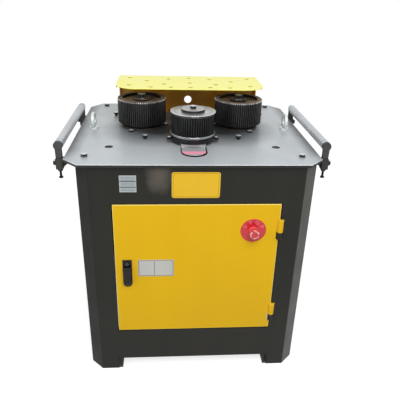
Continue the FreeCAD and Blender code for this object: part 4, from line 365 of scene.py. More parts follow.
class SurfaceGraph(Graph):
    """The node tree of one material, with its shader and its coordinates."""

    def __init__(self, material: bpy.types.Material) -> None:
        """Take over a new material's tree."""
        material.use_nodes = True
        super().__init__(material.node_tree)
        self.shader = self.tree.nodes["Principled BSDF"]
        self.place = self.add("ShaderNodeTexCoord").outputs["Object"]

    def apply(self, effect: Effect, **inputs: object) -> Mapping[str, Socket]:
        """Add an effect's group, on the object's own coordinates unless others are given.

        Args:
            effect: Which effect.
            **inputs: Its inputs by name.

        Returns:
            The group's outputs by name.
        """
        node = self.add("ShaderNodeGroup", node_tree=Effects.group(effect))
        for name, value in {"Place": self.place, **inputs}.items():
            self.feed(node.inputs[name], value)
        return node.outputs

    def worn(self, colour: object, bare: Colour, amount: float) -> Socket:
        """Return a colour that is rubbed to a bare one along the rounded edges."""
        edge = self.mask(EDGE)
        return self.apply(Effect.WEAR, Colour=colour, Bare=bare, Edge=edge, Amount=amount)["Colour"]

    def dusty(self, colour: object, amount: float) -> tuple[Socket, Socket]:
        """Return a colour with dust on it, and where the dust is."""
        laid = self.apply(Effect.DUST, Colour=colour, Amount=amount)
        return laid["Colour"], laid["Mask"]

    def polished(self, gloss: object, rough: Pair) -> Socket:
        """Return the roughness, between two bounds, that a gloss stands for."""
        return self.span(gloss, 0.0, 1.0, *rough)

    def facing_up(self) -> Socket:
        """Return how far a face looks up, from -1 to 1."""
        return self.split(self.add("ShaderNodeNewGeometry").outputs["Normal"])[2]

    def fed(self, name: str) -> Socket:
        """Return what feeds one of the shader's inputs so far."""
        return self.shader.inputs[name].links[0].from_socket

    def mask(self, name: str) -> Socket:
        """Return a number that the mesh holds under this name."""
        return self.add("ShaderNodeAttribute", attribute_name=name, attribute_type="GEOMETRY").outputs["Fac"]

    def centred(self, centre: Triple) -> Socket:
        """Return coordinates that start from a centre."""
        inputs = {"Vector": self.place, "Location": [-value for value in centre]}
        return self.add("ShaderNodeMapping", inputs).outputs[0]

    def bump(self, height: object, depth: float, under: Optional[Socket] = None) -> Socket:
        """Return normals that follow a height.

        Args:
            height: The height, about 0 to 1.
            depth: How deep one unit of it is, in metres.
            under: Normals that it lies over.

        Returns:
            The normals.
        """
        inputs = {"Height": height, "Distance": depth, "Strength": 1.0}
        if under is not None:
            inputs["Normal"] = under
        return self.add("ShaderNodeBump", inputs).outputs[0]

    def set(self, **values: object) -> None:
        """Feed or set the shader's inputs, with _ in a name for a space."""
        for name, value in values.items():
            self.feed(self.shader.inputs[name.replace("_", " ")], value)


@dataclass(frozen=True)
class Finish:
    """What every finish has: a name and the record's slot that it stands for."""

    name: str
    slot: str

    def paint(self, graph: SurfaceGraph) -> None:
        """Build the material's nodes."""
        raise NotImplementedError

    def material(self) -> bpy.types.Material:
        """Return the finish's material, built at its first use."""
        made = bpy.data.materials.get(self.name)
        if made is None:
            made = bpy.data.materials.new(self.name)
            self.paint(SurfaceGraph(made))
        return made


@dataclass(frozen=True)
class PaintedLight:
    """A soft paler patch on an upright face, which paints light and reflections onto it."""

    colour: Colour
    centre: Pair
    reach: Pair
    amount: float

    def over(self, graph: SurfaceGraph, colour: Socket) -> Socket:
        """Return a colour with the patch laid over it.

        Args:
            graph: The material's tree.
            colour: The colour below.

        Returns:
            The mixed colour.
        """
        x, _, z = graph.split(graph.place)
        across = graph.math("DIVIDE", graph.less(x, self.centre[0]), self.reach[0])
        up = graph.math("DIVIDE", graph.less(z, self.centre[1]), self.reach[1])
        far = graph.math("ADD", graph.product(across, across), graph.product(up, up))
        ragged = graph.math("MULTIPLY_ADD", graph.noise(graph.place, 15.0, 3.0), 2.2, far)
        return graph.mix(graph.span(ragged, 0.8, 2.6, self.amount, 0.0), colour, self.colour)


@dataclass(frozen=True)
class PaintFinish(Finish):
    """Sprayed paint on sheet metal or castings, which wears at its edges and takes dust."""

    colour: Colour
    shade: Colour
    bare: Colour = tone(150, 150, 146)
    rough: Pair = (0.3, 0.45)
    coat: float = 0.0
    coat_rough: float = 0.12
    specular: float = 0.5
    variation: float = 0.5
    peel: float = 420.0
    peel_depth: float = 0.00012
    wear: float = 0.15
    dust: float = 0.06
    haze: Optional[PaintedLight] = None

    def paint(self, graph: SurfaceGraph) -> None:
        """Coat, worn edges, dust and any patch of painted light over each other."""
        coat = graph.apply(
            Effect.COAT, Colour=self.colour, Shade=self.shade, Amount=self.variation, Peel=self.peel,
        )
        colour, dust = graph.dusty(graph.worn(coat["Colour"], self.bare, self.wear), self.dust)
        # Painted light: a paler patch, used for a painted reflection on the cabinet front and a painted lit
        # end on the guard.
        if self.haze:
            colour = self.haze.over(graph, colour)
        graph.set(
            Base_Color=colour,
            Roughness=graph.math("ADD", graph.polished(coat["Gloss"], self.rough), dust, clamp=True),
            Normal=graph.bump(coat["Height"], self.peel_depth), Coat_Weight=self.coat,
            Coat_Roughness=self.coat_rough, Specular_IOR_Level=self.specular,
        )


class Grain(Enum):
    """How a steel face was worked, as noise lines per metre along each axis."""

    GROUND_X = (5.0, 260.0, 260.0)
    GROUND_Y = (260.0, 5.0, 260.0)
    DRAWN_Z = (260.0, 260.0, 6.0)
    SATIN = (90.0, 90.0, 90.0)


@dataclass(frozen=True)
class SteelFinish(Finish):
    """Bare, plated or blackened steel with the marks of how it was worked."""

    colour: Colour
    dark: Colour
    rough: Pair = (0.2, 0.4)
    metal: float = 1.0
    grain: Grain = Grain.SATIN
    amount: float = 0.5
    depth: float = 0.00003
    edge: Colour = tone(215, 215, 212)
    wear: float = 0.6
    dust: float = 0.03

    def paint(self, graph: SurfaceGraph) -> None:
        """Ground lines and stains, with rubbed edges and a little dust."""
        self.finish(graph, self.ground(graph))

    def ground(self, graph: SurfaceGraph) -> Mapping[str, Socket]:
        """Return the outputs of the ground lines' group."""
        lines = self.grain.value
        return graph.apply(Effect.GRAIN, Colour=self.colour, Dark=self.dark, Lines=lines, Amount=self.amount)

    def finish(self, graph: SurfaceGraph, ground: Mapping[str, Socket]) -> None:
        """Join the steel's colour, gloss and height to the shader.

        Args:
            graph: The material's tree.
            ground: The effect's outputs.
        """
        colour, dust = graph.dusty(graph.worn(ground["Colour"], self.edge, self.wear), self.dust)
        graph.set(
            Base_Color=colour,
            Roughness=graph.math("ADD", graph.polished(ground["Gloss"], self.rough), dust, clamp=True),
            Metallic=graph.math("SUBTRACT", self.metal, dust, clamp=True),
            Normal=graph.bump(ground["Height"], self.depth),
        )


@dataclass(frozen=True)
class PaintedTopLightFinish(SteelFinish):
    """Blackened steel with painted light on its upward faces."""

    # top and rubbed set the colour and share of the painted light on upward faces.
    top: Colour = tone(232, 234, 234)
    rubbed: float = 0.9

    def finish(self, graph: SurfaceGraph, ground: Mapping[str, Socket]) -> None:
        """Paint light onto what faces up."""
        super().finish(graph, ground)
        upward = graph.product(graph.span(graph.facing_up(), 0.8, 0.97), self.rubbed)
        graph.set(Base_Color=graph.mix(upward, graph.fed("Base Color"), self.top))


@dataclass(frozen=True)
class GroovedFinish(SteelFinish):
    """Satin tube with a turned groove near each end."""

    grooves: Pair = (0.0, 0.0)
    half: float = 0.0012
    shade: Colour = tone(70, 72, 76)
    shaded: float = 0.8

    def finish(self, graph: SurfaceGraph, ground: Mapping[str, Socket]) -> None:
        """Paint shade into the grooves and sink them."""
        super().finish(graph, ground)
        along = graph.split(graph.place)[1]
        gaps = [graph.math("ABSOLUTE", graph.less(along, groove)) for groove in self.grooves]
        near = graph.math("MINIMUM", *gaps)
        shadow = graph.span(near, self.half / 2, self.half, self.shaded, 0.0)
        graph.set(
            Base_Color=graph.mix(shadow, graph.fed("Base Color"), self.shade),
            Normal=graph.bump(graph.span(near, 0.0, self.half), self.half, under=graph.fed("Normal")),
        )


@dataclass(frozen=True)
class TableFinish(SteelFinish):
    """Ground plate with painted reflection and shade in strips along the sides below the tubes, and painted
    shadow round the rollers.
    """

    # dull, side, front and rubbed set the strips of painted reflection and shade along the sides, below the
    # tubes.
    dull: Colour = tone(76, 77, 80)
    side: Pair = (0.388, 0.430)
    front: Pair = (-0.35, -0.24)
    rubbed: float = 0.72
    # oil, the centres, ring and the amount set the painted shadow round each roller and between the rollers
    # and the guard.
    oil: Colour = tone(34, 35, 36)
    spots: tuple[Pair, ...] = ((-0.130, 0.010), (0.130, 0.010), (0.0, 0.150))
    ring: Pair = (0.070, 0.235)
    oily: float = 0.95

    def finish(self, graph: SurfaceGraph, ground: Mapping[str, Socket]) -> None:
        """Paint reflection and shade in strips along the two sides, and shadow near each roller."""
        super().finish(graph, ground)
        x, y, _ = graph.split(graph.place)
        uneven = graph.noise(graph.place, 22.0, 4.0)
        ragged = graph.math("MULTIPLY_ADD", uneven, 0.012, graph.math("ABSOLUTE", x))
        # Painted reflection and shade in strips along the two sides.
        side_shade_mask = graph.product(graph.span(ragged, *self.side), graph.span(y, *self.front))
        rubbed = graph.mix(graph.product(side_shade_mask, self.rubbed), graph.fed("Base Color"), self.dull)
        # Painted shadow round the rollers and behind them.
        far = graph.math("MULTIPLY_ADD", uneven, 0.02, self.nearest(graph, x, y))
        near = graph.span(far, *self.ring, self.oily, 0.0)
        graph.set(Base_Color=graph.mix(near, rubbed, self.oil))

    def nearest(self, graph: SurfaceGraph, x: Socket, y: Socket) -> Socket:
        """Return the distance to the closest centre of painted shadow.

        Args:
            graph: The material's tree.
            x: The place's first number.
            y: Its second.

        Returns:
            The distance in metres.
        """
        found = None
        for across, deep in self.spots:
            distance = graph.distance(graph.less(x, across), graph.less(y, deep))
            found = distance if found is None else graph.math("MINIMUM", found, distance)
        return found


@dataclass(frozen=True)
class TurnedFinish(SteelFinish):
    """Steel turned on a lathe, with rings round its axis."""

    centre: Triple = (0.0, 0.0, 0.0)

    def ground(self, graph: SurfaceGraph) -> Mapping[str, Socket]:
        """Return the outputs of the rings' group."""
        place = graph.centred(self.centre)
        return graph.apply(Effect.RINGS, Place=place, Colour=self.colour, Dark=self.dark, Amount=self.amount)


@dataclass(frozen=True)
class FlutedFinish(SteelFinish):
    """Blackened steel whose tooth lands are rubbed bright by the bars, with a painted highlight that makes
    them brightest at the top rim.
    """

    # bright is worn steel, and it is also a painted highlight on the top rim.
    bright: Colour = tone(196, 194, 190)
    # This brown on the upward faces is rust, and it is also a painted reflection of the guard.
    rust: Colour = tone(98, 66, 48)
    rim: float = 0.985
    rim_depth: float = 0.004
    land_wear: float = 0.25
    rim_wear: float = 0.9
    rust_amount: float = 0.5

    def finish(self, graph: SurfaceGraph, ground: Mapping[str, Socket]) -> None:
        """Lay rust and a painted reflection on what looks up, and rub the lands bright with a painted
        highlight at the rim.
        """
        near_rim = self.near_rim(graph)
        worn, rust_and_reflection_share = self.rubbed(graph, near_rim), self.rusted(graph)
        stained = graph.mix(graph.product(rust_and_reflection_share, self.rust_amount), ground["Colour"], self.rust)
        smooth = graph.math("MULTIPLY_ADD", worn, -0.12, graph.polished(ground["Gloss"], self.rough))
        dull = graph.span(graph.math("MAXIMUM", worn, rust_and_reflection_share), 0.0, 1.0, 1.0, 0.3)
        graph.set(
            Base_Color=graph.mix(worn, stained, self.bright),
            Roughness=graph.math("MULTIPLY_ADD", rust_and_reflection_share, 0.3, smooth, clamp=True),
            Metallic=graph.product(self.metal, dull),
            Normal=graph.bump(ground["Height"], self.depth),
        )

    def near_rim(self, graph: SurfaceGraph) -> Socket:
        """Return 1 close to the top rim and 0 below it."""
        height = graph.split(graph.place)[2]
        return graph.span(height, self.rim - self.rim_depth, self.rim - self.rim_depth / 3)

    def rubbed(self, graph: SurfaceGraph, near_rim: Socket) -> Socket:
        """Return where the lands are rubbed bright, in patches and most of all at the rim, where the
        brightness is also a painted highlight.

        Args:
            graph: The material's tree.
            near_rim: 1 close to the top rim.

        Returns:
            The mask.
        """
        land = graph.span(graph.mask(TIP), graph.span(near_rim, 0.0, 1.0, 0.9, 0.35), 1.0)
        patches = graph.span(graph.noise(graph.place, 48.0, 5.0, 0.6), 0.42, 0.62)
        share = graph.span(near_rim, 0.0, 1.0, self.land_wear, self.rim_wear)
        patchy = graph.product(share, graph.span(patches, 0.0, 1.0, 0.45, 1.0))
        return graph.product(land, patchy)

    def rusted(self, graph: SurfaceGraph) -> Socket:
        """Return where rust and a painted reflection of the guard lie: in patches on what looks up and has no
        flutes.
        """
        plain = graph.span(graph.mask(TIP), 0.0, 0.3, 1.0, 0.0)
        upward = graph.product(graph.span(graph.facing_up(), 0.7, 0.95), plain)
        patches = graph.span(graph.noise(graph.place, 30.0, 6.0, 0.65), 0.3, 0.55)
        return graph.product(upward, patches)


@dataclass(frozen=True)
class CastFinish(Finish):
    """Painted or bare casting with a pebbled skin."""

    colour: Colour
    dark: Colour
    rough: Pair = (0.45, 0.65)
    metal: float = 0.0
    scale: float = 260.0
    depth: float = 0.0004
    specular: float = 0.4
    bare: Colour = tone(150, 148, 142)
    wear: float = 0.35
    dust: float = 0.12

    def paint(self, graph: SurfaceGraph) -> None:
        """Cast skin with rubbed edges and dust."""
        skin = graph.apply(Effect.CAST, Colour=self.colour, Dark=self.dark, Scale=self.scale)
        colour, dust = graph.dusty(graph.worn(skin["Colour"], self.bare, self.wear), self.dust)
        graph.set(
            Base_Color=colour,
            Roughness=graph.math("ADD", graph.polished(skin["Gloss"], self.rough), dust, clamp=True),
            Metallic=self.metal, Normal=graph.bump(skin["Height"], self.depth),
            Specular_IOR_Level=self.specular,
        )


@dataclass(frozen=True)
class PlasticFinish(Finish):
    """Moulded plastic with a fine grain."""

    colour: Colour
    rubbed: Colour
    rough: Pair = (0.3, 0.5)
    specular: float = 0.45
    depth: float = 0.00003
    coat: float = 0.0
    coat_rough: float = 0.15
    wear: float = 0.8

    def paint(self, graph: SurfaceGraph) -> None:
        """Moulded skin with lighter rubbed edges."""
        skin = graph.apply(Effect.MOULD, Colour=self.colour, Rubbed=self.rubbed)
        graph.set(
            Base_Color=graph.worn(skin["Colour"], self.rubbed, self.wear),
            Roughness=graph.polished(skin["Gloss"], self.rough),
            Normal=graph.bump(skin["Height"], self.depth), Specular_IOR_Level=self.specular,
            Coat_Weight=self.coat, Coat_Roughness=self.coat_rough,
        )


@dataclass(frozen=True)
class Rule:
    """A printed line on a plate: where it lies across, its thickness, and its two ends."""

    upright: bool
    at: float
    thickness: float
    start: float
    end: float


@dataclass(frozen=True)
class PlateFinish(Finish):
    """Printed metal plate, bare but for ruled lines."""

    colour: Colour
    aged: Colour
    ink: Colour = tone(60, 60, 62)
    bare: Colour = tone(170, 170, 168)
    rules: tuple[Rule, ...] = ()
    rough: Pair = (0.25, 0.4)
    wear: float = 0.5
    depth: float = 0.00004

    def paint(self, graph: SurfaceGraph) -> None:
        """Coat with the lines printed over it."""
        coat = graph.apply(Effect.COAT, Colour=self.colour, Shade=self.aged, Amount=0.6, Peel=700.0)
        x, _, z = graph.split(graph.place)
        colour = coat["Colour"]
        for rule in self.rules:
            across, along = (x, z) if rule.upright else (z, x)
            on = graph.math("COMPARE", across, rule.at, rule.thickness / 2)
            inside = graph.math("COMPARE", along, (rule.start + rule.end) / 2, (rule.end - rule.start) / 2)
            colour = graph.mix(graph.product(on, inside), colour, self.ink)
        graph.set(
            Base_Color=graph.worn(colour, self.bare, self.wear),
            Roughness=graph.polished(coat["Gloss"], self.rough),
            Normal=graph.bump(coat["Height"], self.depth),
        )


@dataclass(frozen=True)
class SlideFinish(SteelFinish):
    """Machined slide with a band of marking paint across its nose."""

    band: Colour = tone(248, 158, 182)
    pale: Colour = tone(216, 210, 212)
    paled: float = 0.6
    band_front: float = -0.268
    band_rear: float = -0.2415
    top: float = 0.866

    def finish(self, graph: SurfaceGraph, ground: Mapping[str, Socket]) -> None:
        """Lay the paint over the steel in front of the roller."""
        super().finish(graph, ground)
        _, y, z = graph.split(graph.place)
        ragged = graph.math("MULTIPLY_ADD", graph.noise(graph.place, 160.0, 4.0, 0.7), 0.004, y)
        upper = graph.math("GREATER_THAN", z, self.top)
        behind = graph.span(ragged, self.band_front, self.band_front + 0.001)
        before = graph.span(ragged, self.band_rear, self.band_rear + 0.002, 1.0, 0.0)
        painted = graph.product(upper, graph.product(behind, before))
        rubbed = graph.product(upper, graph.less(1.0, behind))
        worn = graph.mix(graph.product(rubbed, self.paled), graph.fed("Base Color"), self.pale)
        bare = graph.less(1.0, painted)
        graph.set(
            Base_Color=graph.mix(painted, worn, self.band),
            Metallic=graph.product(graph.fed("Metallic"), bare),
        )


@dataclass(frozen=True)
class HeadFinish(Finish):
    """Mushroom head with printed arrows that show which way it turns."""

    skin: PlasticFinish
    centre: Pair
    white: Colour = tone(252, 226, 222)
    front: float = -0.390
    arrows: int = 3
    radius: float = 0.0138
    half: float = 0.0011
    barb: float = 0.0026
    start: float = 0.08
    neck: float = 0.62
    end: float = 0.86
    phase: float = 3.15
    coat: float = 0.4
    coat_rough: float = 0.12

    def paint(self, graph: SurfaceGraph) -> None:
        """Plastic under arrows laid out by angle and radius."""
        skin = graph.apply(Effect.MOULD, Colour=self.skin.colour, Rubbed=self.skin.rubbed)
        printed = graph.product(self.arrow(graph), self.facing(graph))
        graph.set(
            Base_Color=graph.mix(printed, skin["Colour"], self.white),
            Roughness=graph.polished(skin["Gloss"], self.skin.rough),
            Normal=graph.bump(skin["Height"], self.skin.depth), Coat_Weight=self.coat,
            Coat_Roughness=self.coat_rough,
        )

    def facing(self, graph: SurfaceGraph) -> Socket:
        """Return 1 on the head's front."""
        return graph.math("LESS_THAN", graph.split(graph.place)[1], self.front)

    def arrow(self, graph: SurfaceGraph) -> Socket:
        """Return 1 on the arrows, whose width changes with the angle."""
        x, _, z = graph.split(graph.place)
        across = graph.less(x, self.centre[0])
        up = graph.less(z, self.centre[1])
        angle = graph.math("DIVIDE", graph.math("ARCTAN2", across, up), 2 * math.pi)
        turn = graph.math("FRACT", graph.math("MULTIPLY_ADD", angle, float(self.arrows), self.phase))
        point = graph.span(turn, self.neck, self.end, self.barb, 0.0)
        body = graph.span(turn, self.start - 0.001, self.start, 0.0, self.half)
        width = graph.mix(graph.math("GREATER_THAN", turn, self.neck), body, point)
        off = graph.math("ABSOLUTE", graph.less(graph.distance(across, up), self.radius))
        return graph.math("LESS_THAN", off, width)


CABINET_PAINT = PaintFinish(
    "cabinet_grey", "cabinet_paint", tone(29, 29, 25), tone(41, 40, 35), bare=tone(84, 84, 78),
    rough=(0.34, 0.48), specular=0.22, variation=0.7, wear=0.12, dust=0.0,
)
# The front panel's paint with a paler patch at its upper left, which is a painted reflection.
FRONT_PAINTED_REFLECTION = replace(
    CABINET_PAINT, name="cabinet_grey_front_painted_reflection",
    haze=PaintedLight(tone(124, 118, 108), (-0.117, 0.825), (0.046, 0.062), 0.6),
)
# Shaded and lit copies of the cabinet paint for the front's slanted corners: less sheen on the left as
# painted shade, and a paler colour on the right as painted light.
LEFT_FOLD_PAINTED_SHADE = replace(CABINET_PAINT, name="cabinet_grey_left_fold_painted_shade", specular=0.08)
RIGHT_FOLD_PAINTED_LIGHT = replace(
    CABINET_PAINT, name="cabinet_grey_right_fold_painted_light", colour=tone(64, 63, 59), shade=tone(76, 75, 70),
)
FRAME_PAINT = PaintFinish(
    "frame_grey", "cabinet_paint", tone(44, 44, 42), tone(58, 56, 52), bare=tone(96, 94, 90),
    rough=(0.4, 0.58), specular=0.3, wear=0.2, dust=0.16,
)
# The pale yellow bare colour and the strong wear paint a highlight along the folded rims, over the worn
# edges.
DOOR_PAINT = PaintFinish(
    "door_yellow", "door_paint", tone(242, 194, 18), tone(236, 184, 22), bare=tone(255, 232, 128),
    rough=(0.28, 0.4), specular=0.2, variation=0.6, wear=1.2, dust=0.01,
)
# A paler copy of the guard's yellow for the top plate, which is painted light from above.
GUARD_TOP_PAINTED_LIGHT = PaintFinish(
    "guard_top_yellow_painted_light", "guard_paint", tone(255, 252, 124), tone(255, 246, 98), bare=tone(255, 250, 190),
    rough=(0.26, 0.38), specular=0.35, coat=0.15, wear=0.2, dust=0.01,
)
# A darker, browner copy of the guard's yellow for the back plate. It is painted shade under the top plate,
# with a painted lit patch at its left end.
GUARD_BACK_PAINTED_SHADE_AND_LIGHT = PaintFinish(
    "guard_back_yellow_painted_shade_and_light", "guard_paint", tone(204, 142, 40), tone(188, 126, 32), bare=tone(240, 206, 96),
    rough=(0.3, 0.45), specular=0.3, wear=0.2, dust=0.04,
    haze=PaintedLight(tone(255, 206, 96), (-0.277, 0.957), (0.035, 0.05), 0.9),
)
# The bright edge colour and the strong wear give a worn outer edge, with a painted highlight along it.
TABLE_STEEL = TableFinish(
    "table_ground_steel", "table_steel", tone(192, 198, 202), tone(175, 181, 185), rough=(0.36, 0.48),
    metal=0.3, grain=Grain.GROUND_X, edge=tone(226, 230, 232), wear=1.1,
)
TABLE_EDGE = CastFinish(
    "table_edge_scale", "table_steel", tone(46, 47, 45), tone(34, 35, 33), rough=(0.5, 0.7), metal=0.3,
    scale=420.0, depth=0.0001, bare=tone(110, 112, 112), wear=0.2, dust=0.02,
)
# Roller tops get the brown of rust and of a painted reflection of the guard, and a bright rim of wear and
# painted highlight.
ROLLER_STEEL = FlutedFinish(
    "roller_black_steel", "roller_steel", tone(40, 40, 40), tone(24, 24, 24), rough=(0.34, 0.5),
    grain=Grain.DRAWN_Z, amount=0.8, metal=0.75, land_wear=0.05, rim_wear=1.0, rim_depth=0.0055,
    rust=tone(128, 108, 90), rust_amount=0.9, bright=tone(250, 248, 242),
)
PRESS_STEEL = FlutedFinish(
    "press_black_steel", "roller_steel", tone(31, 32, 33), tone(16, 16, 18), rough=(0.22, 0.4),
    grain=Grain.DRAWN_Z, amount=0.95, metal=0.8, rim=2.0, land_wear=0.05, rust_amount=0.0,
)
SHAFT_STEEL = SteelFinish(
    "shaft_steel", "shaft_steel", tone(168, 168, 166), tone(112, 112, 110), rough=(0.24, 0.42),
    grain=Grain.DRAWN_Z,
)
OXIDE_STEEL = SteelFinish(
    "black_oxide_steel", "black_oxide", tone(44, 44, 46), tone(26, 26, 28), rough=(0.3, 0.5), metal=0.7,
    edge=tone(150, 150, 150), wear=0.55,
)
ZINC_STEEL = SteelFinish(
    "zinc_plated_steel", "zinc_steel", tone(206, 208, 208), tone(158, 162, 164), rough=(0.16, 0.34),
    amount=0.6, edge=tone(235, 235, 232), wear=0.8,
)
EYE_STEEL = replace(
    ZINC_STEEL, name="lifting_eye_steel", colour=tone(232, 236, 236), dark=tone(196, 200, 200), metal=0.45,
    rough=(0.3, 0.45),
)
# Bolt heads with painted light on their tops.
BOLT_STEEL = PaintedTopLightFinish(
    "bolt_steel_painted_top_light", "black_oxide", tone(40, 40, 42), tone(24, 24, 26), rough=(0.3, 0.46), metal=0.6, amount=0.9,
    edge=tone(170, 170, 170), wear=0.5,
)
TUBE_STEEL = GroovedFinish(
    "tube_satin_steel", "tube_steel", tone(194, 199, 203), tone(158, 163, 169), rough=(0.3, 0.42), metal=0.5,
    grain=Grain.GROUND_Y, amount=0.4, wear=0.4, dust=0.01, grooves=(-0.2646, 0.1866),
)
ARM_PAINT = CastFinish(
    "arm_grey", "iron", tone(68, 68, 70), tone(49, 49, 51), rough=(0.4, 0.58), scale=190.0, depth=0.00025,
    bare=tone(126, 126, 126), dust=0.05,
)
IRON = CastFinish(
    "machined_iron", "iron", tone(66, 64, 61), tone(44, 43, 41), rough=(0.42, 0.62), metal=0.6, scale=300.0,
    depth=0.0003,
)
MOTOR_PAINT = CastFinish(
    "motor_blue_grey", "motor_paint", tone(74, 92, 104), tone(52, 66, 76), rough=(0.38, 0.56), scale=240.0,
)
GEAR_STEEL = SteelFinish(
    "oiled_gear_steel", "shaft_steel", tone(120, 116, 108), tone(64, 58, 50), rough=(0.16, 0.4), amount=0.9,
    grain=Grain.DRAWN_Z, wear=0.8,
)
PANEL_GREY = PaintFinish(
    "panel_light_grey", "panel_grey", tone(190, 190, 184), tone(176, 176, 170), rough=(0.4, 0.55),
    peel_depth=0.00005, wear=0.05, dust=0.1,
)
CONTACTOR_PLASTIC = PlasticFinish(
    "contactor_plastic", "panel_grey", tone(216, 214, 206), tone(190, 188, 180), rough=(0.35, 0.5),
)
BLACK_PLASTIC = PlasticFinish(
    "lock_black", "black_plastic", tone(8, 8, 8), tone(22, 22, 22), rough=(0.36, 0.52), specular=0.3,
)
RED_PLASTIC = PlasticFinish(
    "stop_red", "red_plastic", tone(206, 36, 46), tone(222, 66, 74), rough=(0.22, 0.36), coat=0.3,
)
# Pale red on the black collar behind the head, which is a painted highlight of the mushroom head's side.
COLLAR_PAINTED_HIGHLIGHT = PlasticFinish(
    "stop_collar_red_painted_highlight", "red_plastic", tone(248, 92, 98), tone(252, 120, 124), rough=(0.25, 0.4), coat=0.3,
)
LEGEND_RED = PlasticFinish(
    "legend_pale_red", "red_plastic", tone(246, 120, 128), tone(250, 150, 156), rough=(0.3, 0.45),
)
BUTTON_PLASTIC = PlasticFinish(
    "lock_button_grey", "black_plastic", tone(36, 36, 38), tone(70, 70, 72), rough=(0.3, 0.45),
)
SCREW_STEEL = SteelFinish(
    "feed_screw_steel", "shaft_steel", tone(150, 148, 144), tone(84, 80, 74), rough=(0.2, 0.36),
    grain=Grain.GROUND_X, amount=0.8,
)
GLAND_PLASTIC = PlasticFinish(
    "gland_black", "gland_plastic", tone(34, 34, 35), tone(62, 62, 62), rough=(0.35, 0.5),
)
SLIDE_STEEL = SlideFinish(
    "slide_machined_steel", "bright_steel", tone(200, 202, 204), tone(158, 159, 162), rough=(0.36, 0.5),
    metal=0.4, grain=Grain.GROUND_Y, amount=0.7, wear=0.9,
)


# Meshes

@dataclass(frozen=True)
class Edging:
    """How a solid's sharp edges are rounded.

    The fields are the rounding's width, the shortest edge that it takes, the range of the edge's turn in
    degrees, a test of the edge's middle, whether roundings may not overlap, and how worn the rounding is.
    """

    width: float = 0.5 * MM
    shortest: float = 0.0
    turn: Pair = (25.0, 180.0)
    where: Optional[Callable[[Vector], bool]] = None
    clamp: bool = False
    bright: float = 1.0

    def takes(self, edge: bmesh.types.BMEdge) -> bool:
        """Say whether an edge is one of those that this rounds."""
        if len(edge.link_faces) != 2 or edge.calc_length() < self.shortest:
            return False
        if not self.turn[0] < math.degrees(edge.calc_face_angle(0.0)) < self.turn[1]:
            return False
        return self.where is None or self.where((edge.verts[0].co + edge.verts[1].co) / 2)


FINE = (Edging(),)


def rounding(width: float) -> tuple[Edging]:
    """Return the rounding of all sharp edges to a width in millimetres."""
    return (Edging(width=width * MM),)


@dataclass(frozen=True)
class Solid:
    """The lowest and highest corners of one separate solid in a node."""

    low: Vector
    high: Vector

    @property
    def middle(self) -> Vector:
        """The middle of its box."""
        return (self.low + self.high) / 2


